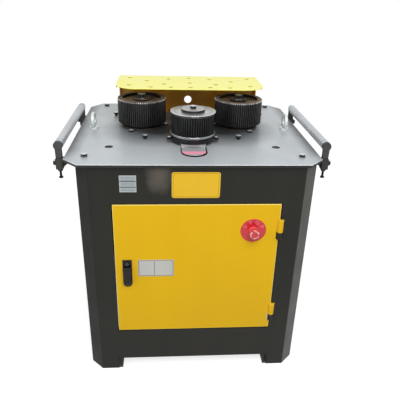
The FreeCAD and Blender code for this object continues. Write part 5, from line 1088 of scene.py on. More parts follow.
class Workshop:
    """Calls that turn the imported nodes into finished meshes."""

    FLAT = math.radians(0.6)
    FACE_WEIGHT = 80

    @staticmethod
    def merged(node: str) -> bmesh.types.BMesh:
        """Return a copy of a node's mesh with its loose triangles joined into whole faces."""
        work = bmesh.new()
        work.from_mesh(frame["nodes"][node].data)
        bmesh.ops.remove_doubles(work, verts=work.verts, dist=ONE_PLACE)
        bmesh.ops.dissolve_limit(work, angle_limit=Workshop.FLAT, verts=work.verts, edges=work.edges)
        return work

    @staticmethod
    def islands(work: bmesh.types.BMesh) -> list[list[bmesh.types.BMVert]]:
        """Return the vertices of each connected part of a mesh."""
        seen: set[bmesh.types.BMVert] = set()
        groups = []
        for start in work.verts:
            if start in seen:
                continue
            seen.add(start)
            group, queue = [], [start]
            while queue:
                vert = queue.pop()
                group.append(vert)
                fresh = [edge.other_vert(vert) for edge in vert.link_edges]
                fresh = [other for other in fresh if other not in seen]
                seen.update(fresh)
                queue.extend(fresh)
            groups.append(group)
        return groups

    @staticmethod
    def corners(verts: Sequence[bmesh.types.BMVert]) -> Solid:
        """Return the box round some vertices."""
        axes = list(zip(*(vert.co for vert in verts)))
        return Solid(Vector([min(axis) for axis in axes]), Vector([max(axis) for axis in axes]))

    @classmethod
    def solids(cls, node: str) -> list[Solid]:
        """Return the box of each separate solid in a node, from left to right and front to rear."""
        work = cls.merged(node)
        found = [cls.corners(group) for group in cls.islands(work)]
        work.free()
        return sorted(found, key=lambda solid: tuple(round(value, 4) for value in solid.low))

    @classmethod
    def refined(cls, node: str, edgings: Sequence[Edging], keep: Optional[Test] = None) -> Mesh:
        """Copy a node's mesh, round its edges and smooth its shading.

        Args:
            node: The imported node.
            edgings: The roundings, from the special to the general.
            keep: Test on a solid's lowest and highest corners, or None to keep them all.

        Returns:
            The new mesh.
        """
        work = cls.merged(node)
        if keep is not None:
            for group in cls.islands(work):
                box = cls.corners(group)
                if not keep(box.low, box.high):
                    bmesh.ops.delete(work, geom=group, context="VERTS")
        mask = work.faces.layers.float.new(EDGE)
        done = work.edges.layers.int.new("done")
        for edging in edgings:
            chosen = [edge for edge in work.edges if not edge[done] and edging.takes(edge)]
            if not chosen:
                continue
            result = bmesh.ops.bevel(
                work, geom=chosen, offset=edging.width, offset_type="OFFSET", segments=2, profile=0.5,
                affect="EDGES", clamp_overlap=edging.clamp, miter_outer="ARC",
            )
            for face in result["faces"]:
                face[mask] = edging.bright
                for edge in face.edges:
                    edge[done] = 1
        work.edges.layers.int.remove(done)
        return cls.smoothed(work, node)

    @staticmethod
    def close(mesh: Mesh) -> None:
        """Join a mesh's vertices that lie in one place."""
        work = bmesh.new()
        work.from_mesh(mesh)
        bmesh.ops.remove_doubles(work, verts=work.verts, dist=ONE_PLACE)
        work.to_mesh(mesh)
        work.free()

    @staticmethod
    def smoothed(work: bmesh.types.BMesh, name: str) -> Mesh:
        """Shade a mesh smooth but for its sharp turns, with flat faces kept flat.

        Args:
            work: The mesh, which is freed.
            name: The new mesh's name.

        Returns:
            The new mesh.
        """
        for face in work.faces:
            face.smooth = True
        for edge in work.edges:
            edge.smooth = len(edge.link_faces) == 2 and edge.calc_face_angle(0.0) < SHARP_TURN
        mesh = bpy.data.meshes.new(name + "_work")
        work.to_mesh(mesh)
        work.free()
        holder = bpy.data.objects.new(name + "_work", mesh)
        bpy.context.scene.collection.objects.link(holder)
        weighted = holder.modifiers.new("flat faces", "WEIGHTED_NORMAL")
        weighted.keep_sharp = True
        weighted.weight = Workshop.FACE_WEIGHT
        return bake(holder)

    @staticmethod
    def points(places: Sequence[Sequence[float]], ways: Sequence[Sequence[float]]) -> Mesh:
        """Make a mesh of loose points that say where repeated pieces go.

        Args:
            places: The points.
            ways: The direction at each point.

        Returns:
            The mesh.
        """
        mesh = bpy.data.meshes.new("places")
        mesh.from_pydata([tuple(place) for place in places], [], [])
        layer = mesh.attributes.new(WAY, "FLOAT_VECTOR", "POINT")
        layer.data.foreach_set("vector", [value for way in ways for value in way])
        return mesh

    @staticmethod
    def line(profile: Profile) -> Mesh:
        """Make a mesh of a profile's points joined in a row, with radius and height turned into metres."""
        mesh = bpy.data.meshes.new("line")
        pairs = [(index, index + 1) for index in range(len(profile) - 1)]
        mesh.from_pydata([(radius * MM, kind, height * MM) for radius, kind, height in profile], pairs, [])
        return mesh


def bake(holder: bpy.types.Object) -> Mesh:
    """Turn a work object with its modifiers into a plain mesh and take the object away.

    Args:
        holder: The work object.

    Returns:
        The mesh as the modifiers leave it.
    """
    graph = bpy.context.evaluated_depsgraph_get()
    made = holder.evaluated_get(graph)
    mesh = bpy.data.meshes.new_from_object(made, preserve_all_data_layers=True, depsgraph=graph)
    old = holder.data
    bpy.data.objects.remove(holder)
    bpy.data.meshes.remove(old)
    return mesh


# Geometry Nodes

class MakerTree(OpenTree):
    """A Geometry Nodes tree that makes a repeated or regular shape, and is baked to a plain mesh."""

    SMOOTH = math.radians(42)
    RANDOM_LOW = 2
    RANDOM_HIGH = 3
    RANDOM_NUMBER = 1

    def __init__(self, name: str) -> None:
        """Start the tree with its geometry in and out and its material."""
        super().__init__(name, "GeometryNodeTree")
        face = self.tree.interface
        face.new_socket("Geometry", in_out="INPUT", socket_type="NodeSocketGeometry")
        face.new_socket("Geometry", in_out="OUTPUT", socket_type="NodeSocketGeometry")
        face.new_socket("Finish", in_out="INPUT", socket_type="NodeSocketMaterial")
        self.geometry = self.entry.outputs["Geometry"]
        self.build()

    def build(self) -> None:
        """Add the tree's nodes."""
        raise NotImplementedError

    def take_object(self, label: str) -> Socket:
        """Add a named input for an object."""
        self.tree.interface.new_socket(label, in_out="INPUT", socket_type="NodeSocketObject")
        return self.entry.outputs[label]

    def choose(self, index: object, values: Sequence[object], kind: str = "FLOAT") -> Socket:
        """Pick one of several values by a number.

        Args:
            index: Which one.
            values: The values.
            kind: Their data type.

        Returns:
            The picked value.
        """
        node = self.add("GeometryNodeIndexSwitch", data_type=kind)
        while len(node.index_switch_items) < len(values):
            node.index_switch_items.new()
        for number, value in enumerate([index, *values]):
            self.feed(node.inputs[number], value)
        return node.outputs[0]

    def lattice(self, columns: object, rows: object) -> tuple[Socket, Socket, Socket]:
        """Make a grid, and give each of its points a column and a row.

        Args:
            columns: How many columns.
            rows: How many rows.

        Returns:
            The grid, the column number and the row number.
        """
        grid = self.add("GeometryNodeMeshGrid", {"Vertices X": columns, "Vertices Y": rows}).outputs[0]
        index = self.add("GeometryNodeInputIndex").outputs[0]
        column = self.math("FLOOR", self.math("DIVIDE", self.math("ADD", index, 0.25), rows))
        row = self.less(index, self.product(column, rows))
        return grid, column, row

    def sample(self, source: object, row: object) -> Sequence[Socket]:
        """Return the X, Y and Z of a point of another mesh, by its number."""
        place = self.add("GeometryNodeInputPosition").outputs[0]
        inputs = {"Geometry": source, "Value": place, "Index": row}
        node = self.add("GeometryNodeSampleIndex", inputs, data_type="FLOAT_VECTOR", domain="POINT")
        return self.split(node.outputs[0])

    def count(self, source: object) -> Socket:
        """Return how many points a mesh has."""
        sizes = self.add("GeometryNodeAttributeDomainSize", {"Geometry": source}, component="MESH")
        return sizes.outputs["Point Count"]

    def turned(self, shape: object, angle: object, radius: object, height: object) -> Socket:
        """Set each point by its angle round Z, its radius and its height.

        Args:
            shape: The geometry.
            angle: The angle in radians.
            radius: The radius.
            height: The height.

        Returns:
            The geometry with its seam and poles closed and its slight turns smooth.
        """
        across = self.product(radius, self.math("COSINE", angle))
        deep = self.product(radius, self.math("SINE", angle))
        place = self.add("ShaderNodeCombineXYZ", {0: across, 1: deep, 2: height}).outputs[0]
        moved = self.add("GeometryNodeSetPosition", {"Geometry": shape, "Position": place}).outputs[0]
        inputs = {"Geometry": moved, "Distance": ONE_PLACE}
        closed = self.add("GeometryNodeMergeByDistance", inputs).outputs[0]
        sharp = self.math("GREATER_THAN", self.add("GeometryNodeInputMeshEdgeAngle").outputs[0], self.SMOOTH)
        smooth = self.add("GeometryNodeSetShadeSmooth", {"Geometry": closed}, domain="FACE").outputs[0]
        inputs = {"Geometry": smooth, "Selection": sharp, "Shade Smooth": False}
        return self.add("GeometryNodeSetShadeSmooth", inputs, domain="EDGE").outputs[0]

    def draw(self, low: object, high: object, seed: object) -> Socket:
        """Return a random number between two bounds."""
        inputs = {self.RANDOM_LOW: low, self.RANDOM_HIGH: high, "Seed": seed}
        return self.add("FunctionNodeRandomValue", inputs, data_type="FLOAT").outputs[self.RANDOM_NUMBER]

    def spread(self, places: object, shape: object, seed: object, spin: object) -> Socket:
        """Put a copy of a shape on each point, along the point's own direction.

        Args:
            places: The points.
            shape: The shape, whose axis is Z.
            seed: Seed of the turn round its own axis.
            spin: The largest turn.

        Returns:
            The copies.
        """
        way = self.add("GeometryNodeInputNamedAttribute", {"Name": WAY}, data_type="FLOAT_VECTOR").outputs[0]
        aim = self.add("FunctionNodeAlignRotationToVector", {"Vector": way}, axis="Z").outputs[0]
        inputs = {"Axis": (0.0, 0.0, 1.0), "Angle": self.draw(0.0, spin, seed)}
        own = self.add("FunctionNodeAxisAngleToRotation", inputs).outputs[0]
        whole = self.add("FunctionNodeRotateRotation", {0: aim, 1: own}, rotation_space="LOCAL").outputs[0]
        inputs = {"Points": places, "Instance": shape, "Rotation": whole}
        return self.add("GeometryNodeInstanceOnPoints", inputs).outputs[0]

    def finish(self, shape: object) -> None:
        """End the tree in plain geometry with its material."""
        real = self.add("GeometryNodeRealizeInstances", {0: shape}).outputs[0]
        inputs = {"Geometry": real, "Material": self.entry.outputs["Finish"]}
        self.feed(self.exit.inputs["Geometry"], self.add("GeometryNodeSetMaterial", inputs).outputs[0])

    def make(self, source: Mesh, finish: Finish, values: Mapping[str, object]) -> Mesh:
        """Run the tree on a mesh.

        Args:
            source: What goes in.
            finish: The finish that the result wears.
            values: The tree's inputs by name.

        Returns:
            A plain mesh.
        """
        holder = bpy.data.objects.new("work", source)
        bpy.context.scene.collection.objects.link(holder)
        maker = holder.modifiers.new("maker", "NODES")
        maker.node_group = self.tree
        items = self.tree.interface.items_tree
        names = {item.name: item.identifier for item in items if item.in_out == "INPUT"}
        for label, value in {**values, "Finish": finish.material()}.items():
            maker[names[label]] = value
        return bake(holder)


class FlutedTree(MakerTree):
    """Turns a profile round Z and cuts flutes into it.

    A profile point holds radius, share of the flute, and height. A tooth has eight corners. STEPS, CUTS and
    LANDS hold each one's place along the tooth, its share of the flute's depth, and whether it's on the land.
    """

    STEPS = (-0.27, -0.23, 0.13, 0.17, 0.30, 0.34, 0.56, 0.60)
    CUTS = (0.12, 0.0, 0.0, 0.12, 0.94, 1.0, 1.0, 0.94)
    LANDS = (0.6, 1.0, 1.0, 0.6, 0.0, 0.0, 0.0, 0.0)

    def build(self) -> None:
        """Lay a grid round the axis, with a column for each corner of each tooth."""
        corners = float(len(self.STEPS))
        flutes, depth = self.take("Flutes", 60), self.take("Flute Depth", 0.004)
        centre = self.take("Centre", (0.0, 0.0, 0.0))
        rows = self.count(self.geometry)
        grid, column, row = self.lattice(self.math("MULTIPLY_ADD", flutes, corners, 1.0), rows)
        radius, share, height = self.sample(self.geometry, row)
        tooth = self.math("FLOOR", self.math("DIVIDE", self.math("ADD", column, 0.25), corners))
        corner = self.less(column, self.product(tooth, corners))
        step = self.math("ADD", tooth, self.choose(corner, self.STEPS))
        angle = self.product(self.math("DIVIDE", step, flutes), 2 * math.pi)
        cut = self.product(self.product(self.choose(corner, self.CUTS), share), depth)
        tip = self.product(self.choose(corner, self.LANDS), share)
        inputs = {"Geometry": grid, "Name": TIP, "Value": tip}
        marked = self.add("GeometryNodeStoreNamedAttribute", inputs, data_type="FLOAT", domain="POINT")
        body = self.turned(marked.outputs[0], angle, self.less(radius, cut), height)
        self.finish(self.add("GeometryNodeTransform", {"Geometry": body, "Translation": centre}).outputs[0])


class FastenerTree(MakerTree):
    """Turns a profile into a bolt, screw or nut and puts it at each point.

    A profile point holds radius, shape and height. Shape 0 is round, 1 is a hexagon whose radius is half its
    width across flats, and 2 is a hexagon whose corners are turned down.
    """

    def build(self) -> None:
        """Turn the profile, then copy it to the points."""
        profile = self.add("GeometryNodeObjectInfo", {0: self.take_object("Profile")}).outputs["Geometry"]
        sides, seed = self.take("Sides", 24), self.take("Seed", 7)
        drop, spin = self.take("Corner Drop", 0.5), self.take("Spin", 1.0)
        grid, column, row = self.lattice(self.math("ADD", sides, 1.0), self.count(profile))
        radius, shape, height = self.sample(profile, row)
        angle = self.product(self.math("DIVIDE", column, sides), 2 * math.pi)
        sixth = math.pi / 3
        inside = self.math("FLOORED_MODULO", self.math("ADD", angle, sixth / 2), sixth)
        off = self.less(inside, sixth / 2)
        swell = self.less(self.math("DIVIDE", radius, self.math("COSINE", off)), radius)
        swell = self.product(swell, self.math("MINIMUM", shape, 1.0))
        low = self.product(self.math("MAXIMUM", self.less(shape, 1.0), 0.0), drop)
        down = self.less(height, self.product(swell, low))
        body = self.turned(grid, angle, self.math("ADD", radius, swell), down)
        self.finish(self.spread(self.geometry, body, seed, self.product(spin, sixth)))


class ThreadTree(MakerTree):
    """Makes a threaded shank from each point along its direction."""

    FLANK = (0.0, 1.0, 1.0, 0.0)
    SPARE_TURNS = 5.0

    def build(self) -> None:
        """Wind the grid's rows along the thread, so that each row stays on one flank."""
        flank = float(len(self.FLANK))
        radius, depth = self.take("Radius", 0.004), self.take("Thread Depth", 0.0005)
        pitch, length = self.take("Pitch", 0.00125), self.take("Length", 0.03)
        sides = self.take("Sides", 20)
        turns = self.math("ADD", self.math("CEIL", self.math("DIVIDE", length, pitch)), self.SPARE_TURNS)
        rows = self.math("MULTIPLY_ADD", turns, flank, 1.0)
        grid, column, row = self.lattice(self.math("ADD", sides, 1.0), rows)
        around = self.math("DIVIDE", column, sides)
        along = self.math("ADD", self.less(self.math("DIVIDE", row, flank), 2.0), around)
        raw = self.product(along, pitch)
        height = self.math("MINIMUM", self.math("MAXIMUM", raw, 0.0), length)
        inside = self.math("COMPARE", raw, height, 1e-7)
        crest = self.choose(self.math("MODULO", row, flank), self.FLANK)
        tall = self.product(self.product(crest, inside), depth)
        reach = self.math("ADD", self.less(radius, depth), tall)
        half = self.math("DIVIDE", self.less(rows, 1.0), 2.0)
        cap = self.math("COMPARE", self.math("ABSOLUTE", self.less(row, half)), half, 0.1)
        reach = self.product(reach, self.less(1.0, cap))
        body = self.turned(grid, self.product(around, 2 * math.pi), reach, height)
        self.finish(self.spread(self.geometry, body, 1, 0.0))


class BeadTree(MakerTree):
    """Lays a rippled weld bead along lines."""

    UNEVEN = (0.8, 1.15)

    def build(self) -> None:
        """Put squashed, slightly uneven drops close together along the line."""
        step, size, seed = self.take("Step", 0.0015), self.take("Size", 0.003), self.take("Seed", 3)
        curve = self.add("GeometryNodeMeshToCurve", {0: self.geometry}).outputs[0]
        even = self.add("GeometryNodeResampleCurve", {"Curve": curve, "Length": step}, mode="LENGTH")
        drop = self.add("GeometryNodeMeshIcoSphere", {"Radius": size, "Subdivisions": 2}).outputs[0]
        smooth = self.add("GeometryNodeSetShadeSmooth", {"Geometry": drop}).outputs[0]
        inputs = {"Points": even.outputs[0], "Instance": smooth, "Scale": self.draw(*self.UNEVEN, seed)}
        self.finish(self.add("GeometryNodeInstanceOnPoints", inputs).outputs[0])


class Trees:
    """Keeps one copy of each maker tree."""

    made: dict[type, MakerTree] = {}

    @classmethod
    def get(cls, kind: type, name: str) -> MakerTree:
        """Return the tree of a kind, built at its first use."""
        if kind not in cls.made:
            cls.made[kind] = kind(name)
        return cls.made[kind]


@dataclass(frozen=True)
class Fastener:
    """A bolt, screw or nut. Its profile is in millimetres from its seat: radius, shape and height."""

    profile: Profile
    finish: Finish
    seed: int = 7
    spin: float = 1.0
    sides: int = 24

    def mesh(self, places: Sequence[Vector], way: Sequence[float]) -> Mesh:
        """Make one at each place.

        Args:
            places: The seats.
            way: The direction from the seat through the head.

        Returns:
            A plain mesh.
        """
        line = Workshop.line(self.profile)
        shape = bpy.data.objects.new("profile", line)
        bpy.context.scene.collection.objects.link(shape)
        values = {"Profile": shape, "Sides": self.sides, "Seed": self.seed, "Spin": self.spin}
        source = Workshop.points(places, [way] * len(places))
        made = Trees.get(FastenerTree, "fasteners").make(source, self.finish, values)
        bpy.data.objects.remove(shape)
        bpy.data.meshes.remove(line)
        return made


def hex_head(flats: float, tall: float, seat: float = 0.0) -> Profile:
    """Return the profile of a hexagonal head from its seat to the middle of its top.

    Args:
        flats: Width across flats in millimetres.
        tall: Height in millimetres.
        seat: Where it starts.

    Returns:
        The profile's points.
    """
    half, top = flats / 2, seat + tall
    foot = (half * 0.93, 0.0, seat), (half * 0.95, 0.0, seat + 0.35)
    return (*foot, (half, 1.0, seat + 0.4), (half, 2.0, top - 0.2), (half * 0.94, 0.0, top), (0.0, 0.0, top))


def shank(radius: float, low: float, high: float, pitch: float) -> Profile:
    """Return the profile of a shank from its middle at the bottom, with rings in place of its thread.

    Args:
        radius: Its radius in millimetres.
        low: Where it starts.
        high: Where it ends.
        pitch: The rings' pitch.

    Returns:
        The profile's points.
    """
    root = radius * 0.89
    points = [(0.0, 0.0, low), (radius * 0.88, 0.0, low)]
    for number in range(int((high - low) / pitch)):
        start = low + number * pitch
        crest = (radius, 0.0, start + pitch * 0.45), (radius, 0.0, start + pitch * 0.6)
        points += [*crest, (root, 0.0, start + pitch)]
    return (*points, (root, 0.0, high))


# Assemblies

class Assembly:
    """A sub-assembly of the machine, which makes its own pieces."""

    BODIES = {
        node: body for body, nodes in frame["record"]["behaviour"]["bodies"].items() for node in nodes
    }

    def build(self) -> None:
        """Make and place every piece."""
        raise NotImplementedError

    def place(self, name: str, mesh: Mesh, node: str, finish: Finish) -> None:
        """Put a mesh in the scene on the body of the node that it stands for.

        Args:
            name: The piece's name.
            mesh: Its mesh, already where it belongs.
            node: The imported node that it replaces.
            finish: Its main finish.
        """
        piece = bpy.data.objects.new(name, mesh)
        bpy.context.scene.collection.objects.link(piece)
        if not mesh.materials:
            mesh.materials.append(finish.material())
        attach(piece, self.BODIES[node])
        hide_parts(node)
        LOG.info("%s: %d faces, %s", name, len(mesh.polygons), finish.name)

    def dress(
        self, node: str, *finishes: Finish, edgings: Sequence[Edging] = FINE, keep: Optional[Test] = None,
        name: Optional[str] = None, pick: Optional[Pick] = None,
    ) -> None:
        """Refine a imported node's mesh and give it its finishes.

        Args:
            node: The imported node.
            *finishes: Its finishes.
            edgings: How its edges are rounded.
            keep: Which of its solids this piece takes, or None for all.
            name: The piece's name, if not the node's own with "_shell".
            pick: Which finish a face has, from its middle, where there are several.
        """
        mesh = Workshop.refined(node, edgings, keep)
        mesh.materials.clear()
        for finish in finishes:
            mesh.materials.append(finish.material())
        for face in mesh.polygons:
            face.material_index = pick(face.center) if pick else 0
        self.place(name or node + "_shell", mesh, node, finishes[0])

    def fasten(
        self, name: str, node: str, kind: Fastener, places: Sequence[Vector], way: Sequence[float],
    ) -> None:
        """Make repeated fasteners as one piece.

        Args:
            name: The piece's name.
            node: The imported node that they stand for.
            kind: The fastener.
            places: Their seats in metres.
            way: The direction from the seat through the head.
        """
        self.place(name, kind.mesh(places, way), node, kind.finish)


def frame_lines(left: float, right: float, low: float, high: float, thickness: float) -> tuple[Rule, ...]:
    """Return the four printed lines of a border."""
    across = tuple(Rule(False, level, thickness, left, right) for level in (low, high))
    return across + tuple(Rule(True, side, thickness, low, high) for side in (left, right))


@dataclass
class Cabinet(Assembly):
    """Folded cabinet with its posts, feet, rear cover, plates and gland."""

    fold: Edging = Edging(width=2.6 * MM, shortest=12 * MM, turn=(38.0, 52.0))
    folds: Pair = (-0.349, 0.369)
    post_x: float = 0.345
    post_y: float = 0.3335
    middle: Pair = (0.010, 0.0095)
    post_half: float = 0.0255
    foot_top: float = 0.008
    between_plates: float = -0.15
    rear_from: float = 0.38
    screw_head: float = 3.3 * MM
    nameplate: PlateFinish = PlateFinish(
        "nameplate_yellow", "plate_white", tone(240, 192, 22), tone(232, 182, 24), ink=tone(110, 86, 24),
        rules=frame_lines(-0.0735, 0.0775, 0.7535, 0.8365, 0.9 * MM),
    )
    data_plate: PlateFinish = PlateFinish(
        "data_plate_white", "plate_white", tone(179, 188, 191), tone(158, 167, 170),
        rules=(
            Rule(False, 0.809, 2.4 * MM, -0.249, -0.195), Rule(False, 0.788, 2.4 * MM, -0.249, -0.195),
            *(Rule(False, 0.777 + row * 5.1 * MM, 1.1 * MM, -0.244, -0.201) for row in range(10)),
        ),
    )

    def build(self) -> None:
        """Make the panels, frame, feet, screws, plates and gland."""
        edgings = (self.fold, *FINE)
        for node in ("left_side_panel", "right_side_panel", "rear_panel"):
            self.dress(node, CABINET_PAINT, edgings=edgings)
        # The slanted corners wear painted shade on the left and painted light on the right.
        fronts = (FRONT_PAINTED_REFLECTION, LEFT_FOLD_PAINTED_SHADE, RIGHT_FOLD_PAINTED_LIGHT)
        self.dress("front_panel", *fronts, edgings=edgings, pick=self.fold_side)
        self.dress("rear_cover", CABINET_PAINT)
        self.dress("corner_posts", FRAME_PAINT)
        self.dress("foot_plates", FRAME_PAINT)
        self.dress("cable_gland", GLAND_PLASTIC)
        self.beads()
        self.screws()
        plates = rounding(0.25)
        self.dress("front_plates", self.nameplate, edgings=plates, keep=self.on_right, name="nameplate")
        self.dress("front_plates", self.data_plate, edgings=plates, keep=self.on_left, name="data_plate")

    def on_right(self, low: Vector, high: Vector) -> bool:
        """Say whether a plate is the right one."""
        return low.x > self.between_plates

    def on_left(self, low: Vector, high: Vector) -> bool:
        """Say whether a plate is the left one."""
        return high.x < self.between_plates

    def fold_side(self, middle: Vector) -> int:
        """Return 1 on the left slanted corner, 2 on the right one and 0 between them."""
        left, right = self.folds
        return 1 if middle.x < left else 2 if middle.x > right else 0

    def screws(self) -> None:
        """Put the rear cover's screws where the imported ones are."""
        rear = [solid for solid in Workshop.solids("cover_screws") if solid.high.y > self.rear_from]
        seats = [Vector((solid.middle.x, solid.high.y - self.screw_head, solid.middle.z)) for solid in rear]
        profile = (
            (0, 0, -8), (3, 0, -8), (3, 0, 0), (5.7, 0, 0), (6, 0, 0.3), (6, 0, 1.5), (5.3, 0, 2.7),
            (4.1, 0, 3.3), (2.3, 1, 3.3), (2.2, 1, 1.2), (0, 0, 1.2),
        )
        kind = Fastener(profile, ZINC_STEEL, seed=11)
        self.fasten("cover_screws_rear", "cover_screws", kind, seats, (0, 1, 0))

    def beads(self) -> None:
        """Weld the posts to the foot plates."""
        source = bpy.data.meshes.new("beads")
        points, pairs = [], []
        for side, end in ((-1, -1), (-1, 1), (1, -1), (1, 1)):
            x, y = self.middle[0] + side * self.post_x, self.middle[1] + end * self.post_y
            first = len(points)
            for across, deep in ((-1, -1), (1, -1), (1, 1), (-1, 1)):
                points.append((x + across * self.post_half, y + deep * self.post_half, self.foot_top))
            pairs += [(first, first + 1), (first + 1, first + 2), (first + 2, first + 3), (first + 3, first)]
        source.from_pydata(points, pairs, [])
        values = {"Step": 2.2 * MM, "Size": 2.6 * MM}
        mesh = Trees.get(BeadTree, "weld bead").make(source, FRAME_PAINT, values)
        self.place("foot_welds", mesh, "foot_plates", FRAME_PAINT)


@dataclass
class Table(Assembly):
    """Ground table top with its plugs, lifting eyes and bolts, whose own sizes are in millimetres."""

    top: float = 0.872
    ground: float = 0.8706
    seat: float = 0.880
    near: float = 0.5 * MM
    flats: float = 19.0
    head: float = 7.5
    washer: float = 2.0
    radius: float = 6.0
    pitch: float = 1.75
    slot_clear: float = 0.06
    deep_clear: float = 0.36

    def build(self) -> None:
        """Make the top and everything fixed to it."""
        outer = Edging(width=1.3 * MM, shortest=20 * MM, where=self.outside)
        edgings = (outer, Edging(width=0.4 * MM, bright=0.0))
        self.dress("table_top", TABLE_STEEL, TABLE_EDGE, edgings=edgings, pick=self.below)
        self.dress("table_plugs", OXIDE_STEEL)
        self.dress("eyebolts", EYE_STEEL)
        self.bolts()

    def below(self, middle: Vector) -> int:
        """Return 1 below the ground top."""
        return int(middle.z < self.ground)

    def outside(self, middle: Vector) -> bool:
        """Say whether a long edge is the plate's outer one and not the slot's."""
        return abs(middle.x) > self.slot_clear or abs(middle.y) > self.deep_clear

    def bolts(self) -> None:
        """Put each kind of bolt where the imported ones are, told apart by their tops."""
        packed = Workshop.solids("table_bolts")
        kinds = {
            "table_bolts_corner": (self.top, self.washer, self.corner(), 5),
            "table_bolts_housing": (self.top, 0.0, self.plain(), 9),
            "table_bolts_standing": (self.seat, 0.0, self.standing(), 4),
        }
        for name, (seat, washer, profile, seed) in kinds.items():
            top = seat + (washer + self.head) * MM
            found = [solid.middle for solid in packed if abs(solid.high.z - top) < self.near]
            seats = [Vector((middle.x, middle.y, seat)) for middle in found]
            self.fasten(name, "table_bolts", Fastener(profile, BOLT_STEEL, seed=seed), seats, (0, 0, 1))

    def corner(self) -> Profile:
        """Return a corner bolt with its washer."""
        washer = ((11.7, 0, 0), (12, 0, 0.3), (12, 0, self.washer - 0.3), (11.7, 0, self.washer))
        head = hex_head(self.flats, self.head, self.washer)
        return (*shank(self.radius, -18, 0, self.pitch), *washer, *head)

    def plain(self) -> Profile:
        """Return a bolt that holds a bearing housing."""
        return (*shank(self.radius, -30, 0, self.pitch), *hex_head(self.flats, self.head))

    def standing(self) -> Profile:
        """Return a standing bolt with the nut under the table."""
        nut = ((0, 0, -25.5), (8.9, 0, -25.5), (9.5, 1, -25), (9.5, 1, -18.3), (9, 0, -18))
        return (*nut, *shank(self.radius, -18, 0, self.pitch)[1:], *hex_head(self.flats, self.head))


@dataclass
class Guard(Assembly):
    """Folded guard behind the rollers."""

    screw_head: float = 3.5 * MM
    screws_before: float = 0.3

    def build(self) -> None:
        """Make the two plates and their screws."""
        # The back plate wears painted shade and a painted lit end; the top plate wears painted light.
        self.dress("guard_back_plate", GUARD_BACK_PAINTED_SHADE_AND_LIGHT, edgings=rounding(0.6))
        self.dress("guard_top_plate", GUARD_TOP_PAINTED_LIGHT, edgings=rounding(0.6))
        found = [solid for solid in Workshop.solids("cover_screws") if solid.high.y < self.screws_before]
        seats = [Vector((solid.middle.x, solid.middle.y, solid.high.z - self.screw_head)) for solid in found]
        profile = (
            (0, 0, -16), (3, 0, -16), (3, 0, 0), (5.7, 0, 0), (6, 0, 0.3), (5.7, 0, 1.4), (4.9, 0, 2.6),
            (3.6, 0, 3.5), (2.1, 1, 3.5), (2, 1, 1.4), (0, 0, 1.4),
        )
        self.fasten("guard_screws", "cover_screws", Fastener(profile, OXIDE_STEEL, seed=2), seats, (0, 0, 1))


@dataclass
class DriveRollers(Assembly):
    """The two driven rollers with their shafts, gears, bearings and housings."""

    pitch: float = 0.190
    centre_y: float = 0.054
    flutes: int = 72
    flute_depth: float = 0.004
    profile: Profile = (
        (22.5, 0, 881), (69.2, 0, 881), (70, 0, 881.8), (70, 0, 892.4), (70.6, 0, 893), (88, 0, 893),
        (92.5, 1, 893), (93.5, 1, 894), (93.5, 1, 984), (92.5, 1, 985), (88, 0, 985), (74.8, 0, 985),
        (74, 0, 984.2), (74, 0, 976.8), (73.2, 0, 976), (34.8, 0, 976), (34, 0, 976.8), (34, 0, 981.2),
        (33.2, 0, 982), (22.5, 0, 982), (22.5, 0, 881),
    )
    cap_from: float = 0.9821
    bolt_from: float = 0.9871

    def part(self, middle: Vector) -> int:
        """Tell the end washer, the shaft and the end bolt apart by height."""
        if middle.z > self.bolt_from:
            return 2
        return int(middle.z < self.cap_from)

    def build(self) -> None:
        """Make both sides, then the housings that the table carries."""
        for side, sign in (("left", -1.0), ("right", 1.0)):
            centre = (sign * self.pitch, self.centre_y, 0.0)
            turned = TurnedFinish(
                "end_cap_steel_" + side, "black_oxide", tone(92, 84, 74), tone(46, 42, 37), rough=(0.3, 0.46),
                metal=0.7, centre=centre,
            )
            node = "drive_roller_" + side
            mesh = fluted(self.profile, self.flutes, self.flute_depth, centre, ROLLER_STEEL)
            self.place(node + "_body", mesh, node, ROLLER_STEEL)
            self.dress("drive_shaft_" + side, turned, SHAFT_STEEL, BOLT_STEEL, pick=self.part)
            self.dress("drive_gear_" + side, GEAR_STEEL, edgings=rounding(0.4))
        self.dress("pinion_shaft", GEAR_STEEL, edgings=rounding(0.4))
        self.dress("bearing_housings", IRON)
        self.dress("shaft_bearings", ZINC_STEEL)


def fluted(profile: Profile, flutes: int, depth: float, centre: Triple, finish: Finish) -> Mesh:
    """Make a fluted roller.

    Args:
        profile: Points in millimetres: radius, share of the flute, and height.
        flutes: How many flutes.
        depth: Their depth in metres.
        centre: A point of the axis.
        finish: Its finish.

    Returns:
        A plain mesh.
    """
    values = {"Flutes": flutes, "Flute Depth": depth, "Centre": centre}
    return Trees.get(FlutedTree, "fluted roller").make(Workshop.line(profile), finish, values)


